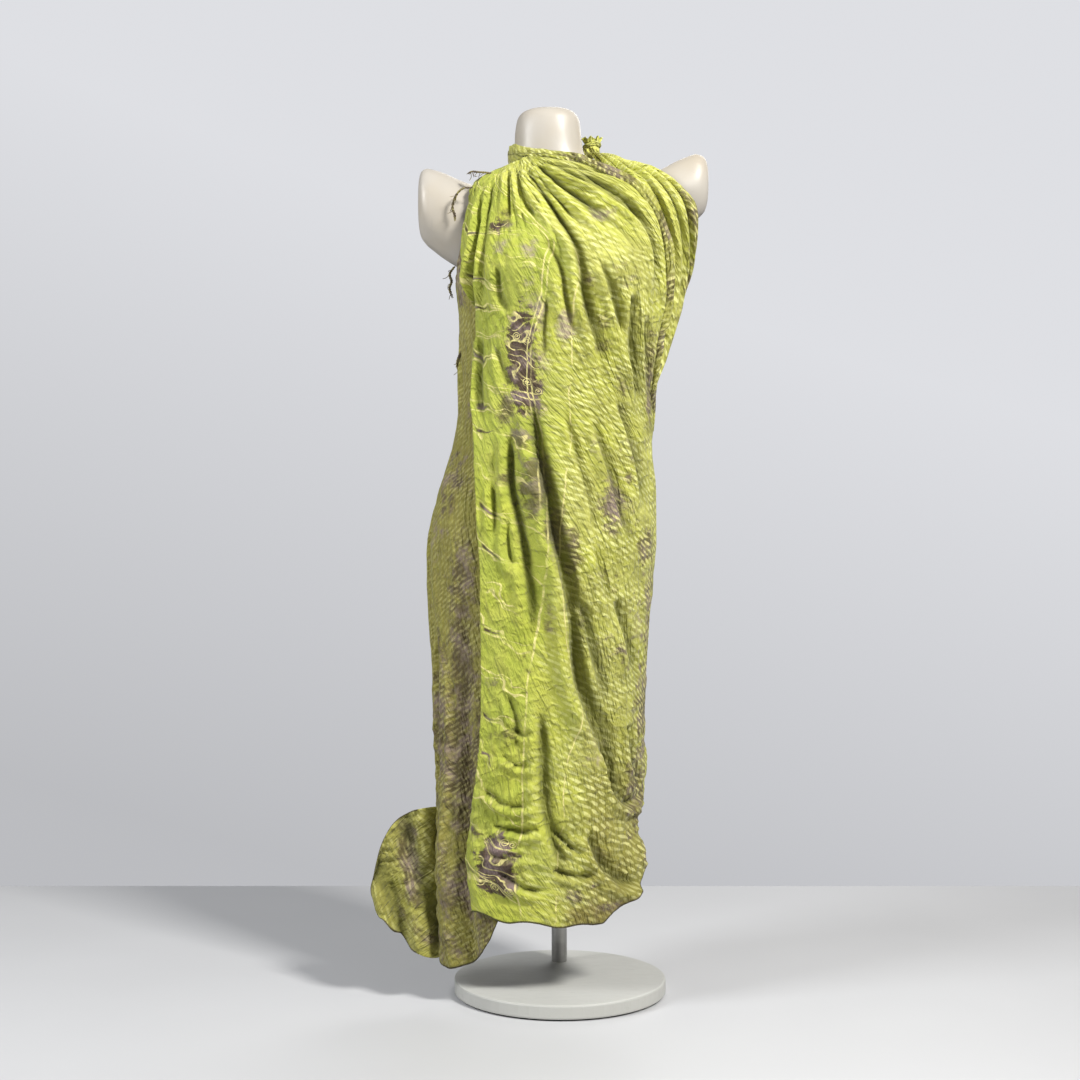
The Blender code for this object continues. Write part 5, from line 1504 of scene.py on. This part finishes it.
class StageSettings(bpy.types.PropertyGroup):
    floor_colour: colour_setting("Floor", "Pale floor", (0.520, 0.523, 0.535))
    backdrop_colour: colour_setting("Surroundings", "Pale wall and ambient light", (0.735, 0.743, 0.775))
    ambient: FloatProperty(
        name="Ambient", description="Share of the wall's light on the cloth", default=0.24, min=0.0
    )
    floor_half_width: length_setting("Floor half width", "From the middle to each side", 4.0)
    floor_near_edge: length_setting("Floor near edge", "In front of the stand", 4.0)
    floor_far_edge: length_setting("Floor far edge", "Behind the stand", 0.85)
    key_power: FloatProperty(name="Key light", description="Soft light, upper right", default=215.0, min=0.0)
    fill_power: FloatProperty(name="Fill light", description="Weaker light, left", default=88.0, min=0.0)
    back_power: FloatProperty(name="Back light", description="Weak light from behind", default=30.0, min=0.0)
    lens: FloatProperty(name="Focal length", description="In millimetres", default=54.67, min=1.0)
    camera_side: FloatProperty(name="Camera side", description="Along X", default=-0.034, unit="LENGTH")
    camera_distance: length_setting("Camera distance", "In front of the stand", 2.8)
    camera_height: length_setting("Camera height", "Above the floor", 0.77)


# ---------------------------------------------------------------- operators
class SARONG_OT_wrap_cloth(bpy.types.Operator):
    """Build the cloth wrapped round the body, with its folds and dye"""

    bl_idname = "sarong.wrap_cloth"
    bl_label = "Wrap cloth"

    def execute(self, context):
        build_wrap_cloth(context.scene.sarong_cloth)
        return {"FINISHED"}


class SARONG_OT_hem_corner(bpy.types.Operator):
    """Build the lower corner of the cloth that kicks out at the side"""

    bl_idname = "sarong.hem_corner"
    bl_label = "Hem corner"

    def execute(self, context):
        build_hem_corner(context.scene.sarong_cloth)
        return {"FINISHED"}


class SARONG_OT_shoulder_cloth(bpy.types.Operator):
    """Build the stretch of cloth over the shoulder"""

    bl_idname = "sarong.shoulder_cloth"
    bl_label = "Shoulder cloth"

    def execute(self, context):
        build_shoulder_cloth(context.scene.sarong_cloth)
        return {"FINISHED"}


class SARONG_OT_neck_band(bpy.types.Operator):
    """Build the gathered band round the neck and the rolled edge below it"""

    bl_idname = "sarong.neck_band"
    bl_label = "Neck band and roll"

    def execute(self, context):
        build_neck_band()
        build_edge_roll()
        return {"FINISHED"}


class SARONG_OT_knot(bpy.types.Operator):
    """Build the knot and its two frilled ends"""

    bl_idname = "sarong.knot"
    bl_label = "Knot"

    def execute(self, context):
        build_knot()
        return {"FINISHED"}


class SARONG_OT_fringe(bpy.types.Operator):
    """Build the fringe twists that show at the cloth's edges"""

    bl_idname = "sarong.fringe"
    bl_label = "Fringe twists"

    def execute(self, context):
        build_fringe(context.scene.sarong_cloth)
        return {"FINISHED"}


class SARONG_OT_dress_form(bpy.types.Operator):
    """Build the smooth shell of the dress form"""

    bl_idname = "sarong.dress_form"
    bl_label = "Dress form"

    def execute(self, context):
        build_dress_form(context.scene.sarong_form)
        return {"FINISHED"}


class SARONG_OT_stand(bpy.types.Operator):
    """Finish the base plate, the pole and the pad"""

    bl_idname = "sarong.stand"
    bl_label = "Stand"

    def execute(self, context):
        finish_stand(context.scene.sarong_stand)
        return {"FINISHED"}


class SARONG_OT_stage(bpy.types.Operator):
    """Set the floor, the surroundings, the lights and the camera"""

    bl_idname = "sarong.stage"
    bl_label = "Stage"

    def execute(self, context):
        build_stage(context.scene.sarong_stage)
        return {"FINISHED"}


SETTINGS = {
    "sarong_cloth": SarongClothSettings,
    "sarong_form": DressFormSettings,
    "sarong_stand": StandSettings,
    "sarong_stage": StageSettings,
}
OPERATORS = (
    SARONG_OT_dress_form,
    SARONG_OT_wrap_cloth,
    SARONG_OT_hem_corner,
    SARONG_OT_shoulder_cloth,
    SARONG_OT_neck_band,
    SARONG_OT_knot,
    SARONG_OT_fringe,
    SARONG_OT_stand,
    SARONG_OT_stage,
)


class SARONG_PT_panel(bpy.types.Panel):
    """Lists the sarong's settings and its building steps"""

    bl_idname = "SARONG_PT_panel"
    bl_label = "Batik wrap sarong"
    bl_space_type = "VIEW_3D"
    bl_region_type = "UI"
    bl_category = "Sarong"

    def draw(self, context):
        for name, group in SETTINGS.items():
            box = self.layout.box()
            for key in group.__annotations__:
                box.prop(getattr(context.scene, name), key)
        for operator in OPERATORS:
            self.layout.operator(operator.bl_idname)


def register():
    for cls in (*SETTINGS.values(), *OPERATORS, SARONG_PT_panel):
        bpy.utils.register_class(cls)
    for name, group in SETTINGS.items():
        setattr(bpy.types.Scene, name, PointerProperty(type=group))


def unregister():
    for name in SETTINGS:
        delattr(bpy.types.Scene, name)
    for cls in (SARONG_PT_panel, *reversed(OPERATORS), *SETTINGS.values()):
        bpy.utils.unregister_class(cls)


def main():
    register()
    for operator in OPERATORS:
        group, name = operator.bl_idname.split(".")
        getattr(getattr(bpy.ops, group), name)()


if __name__ == "__main__":
    main()
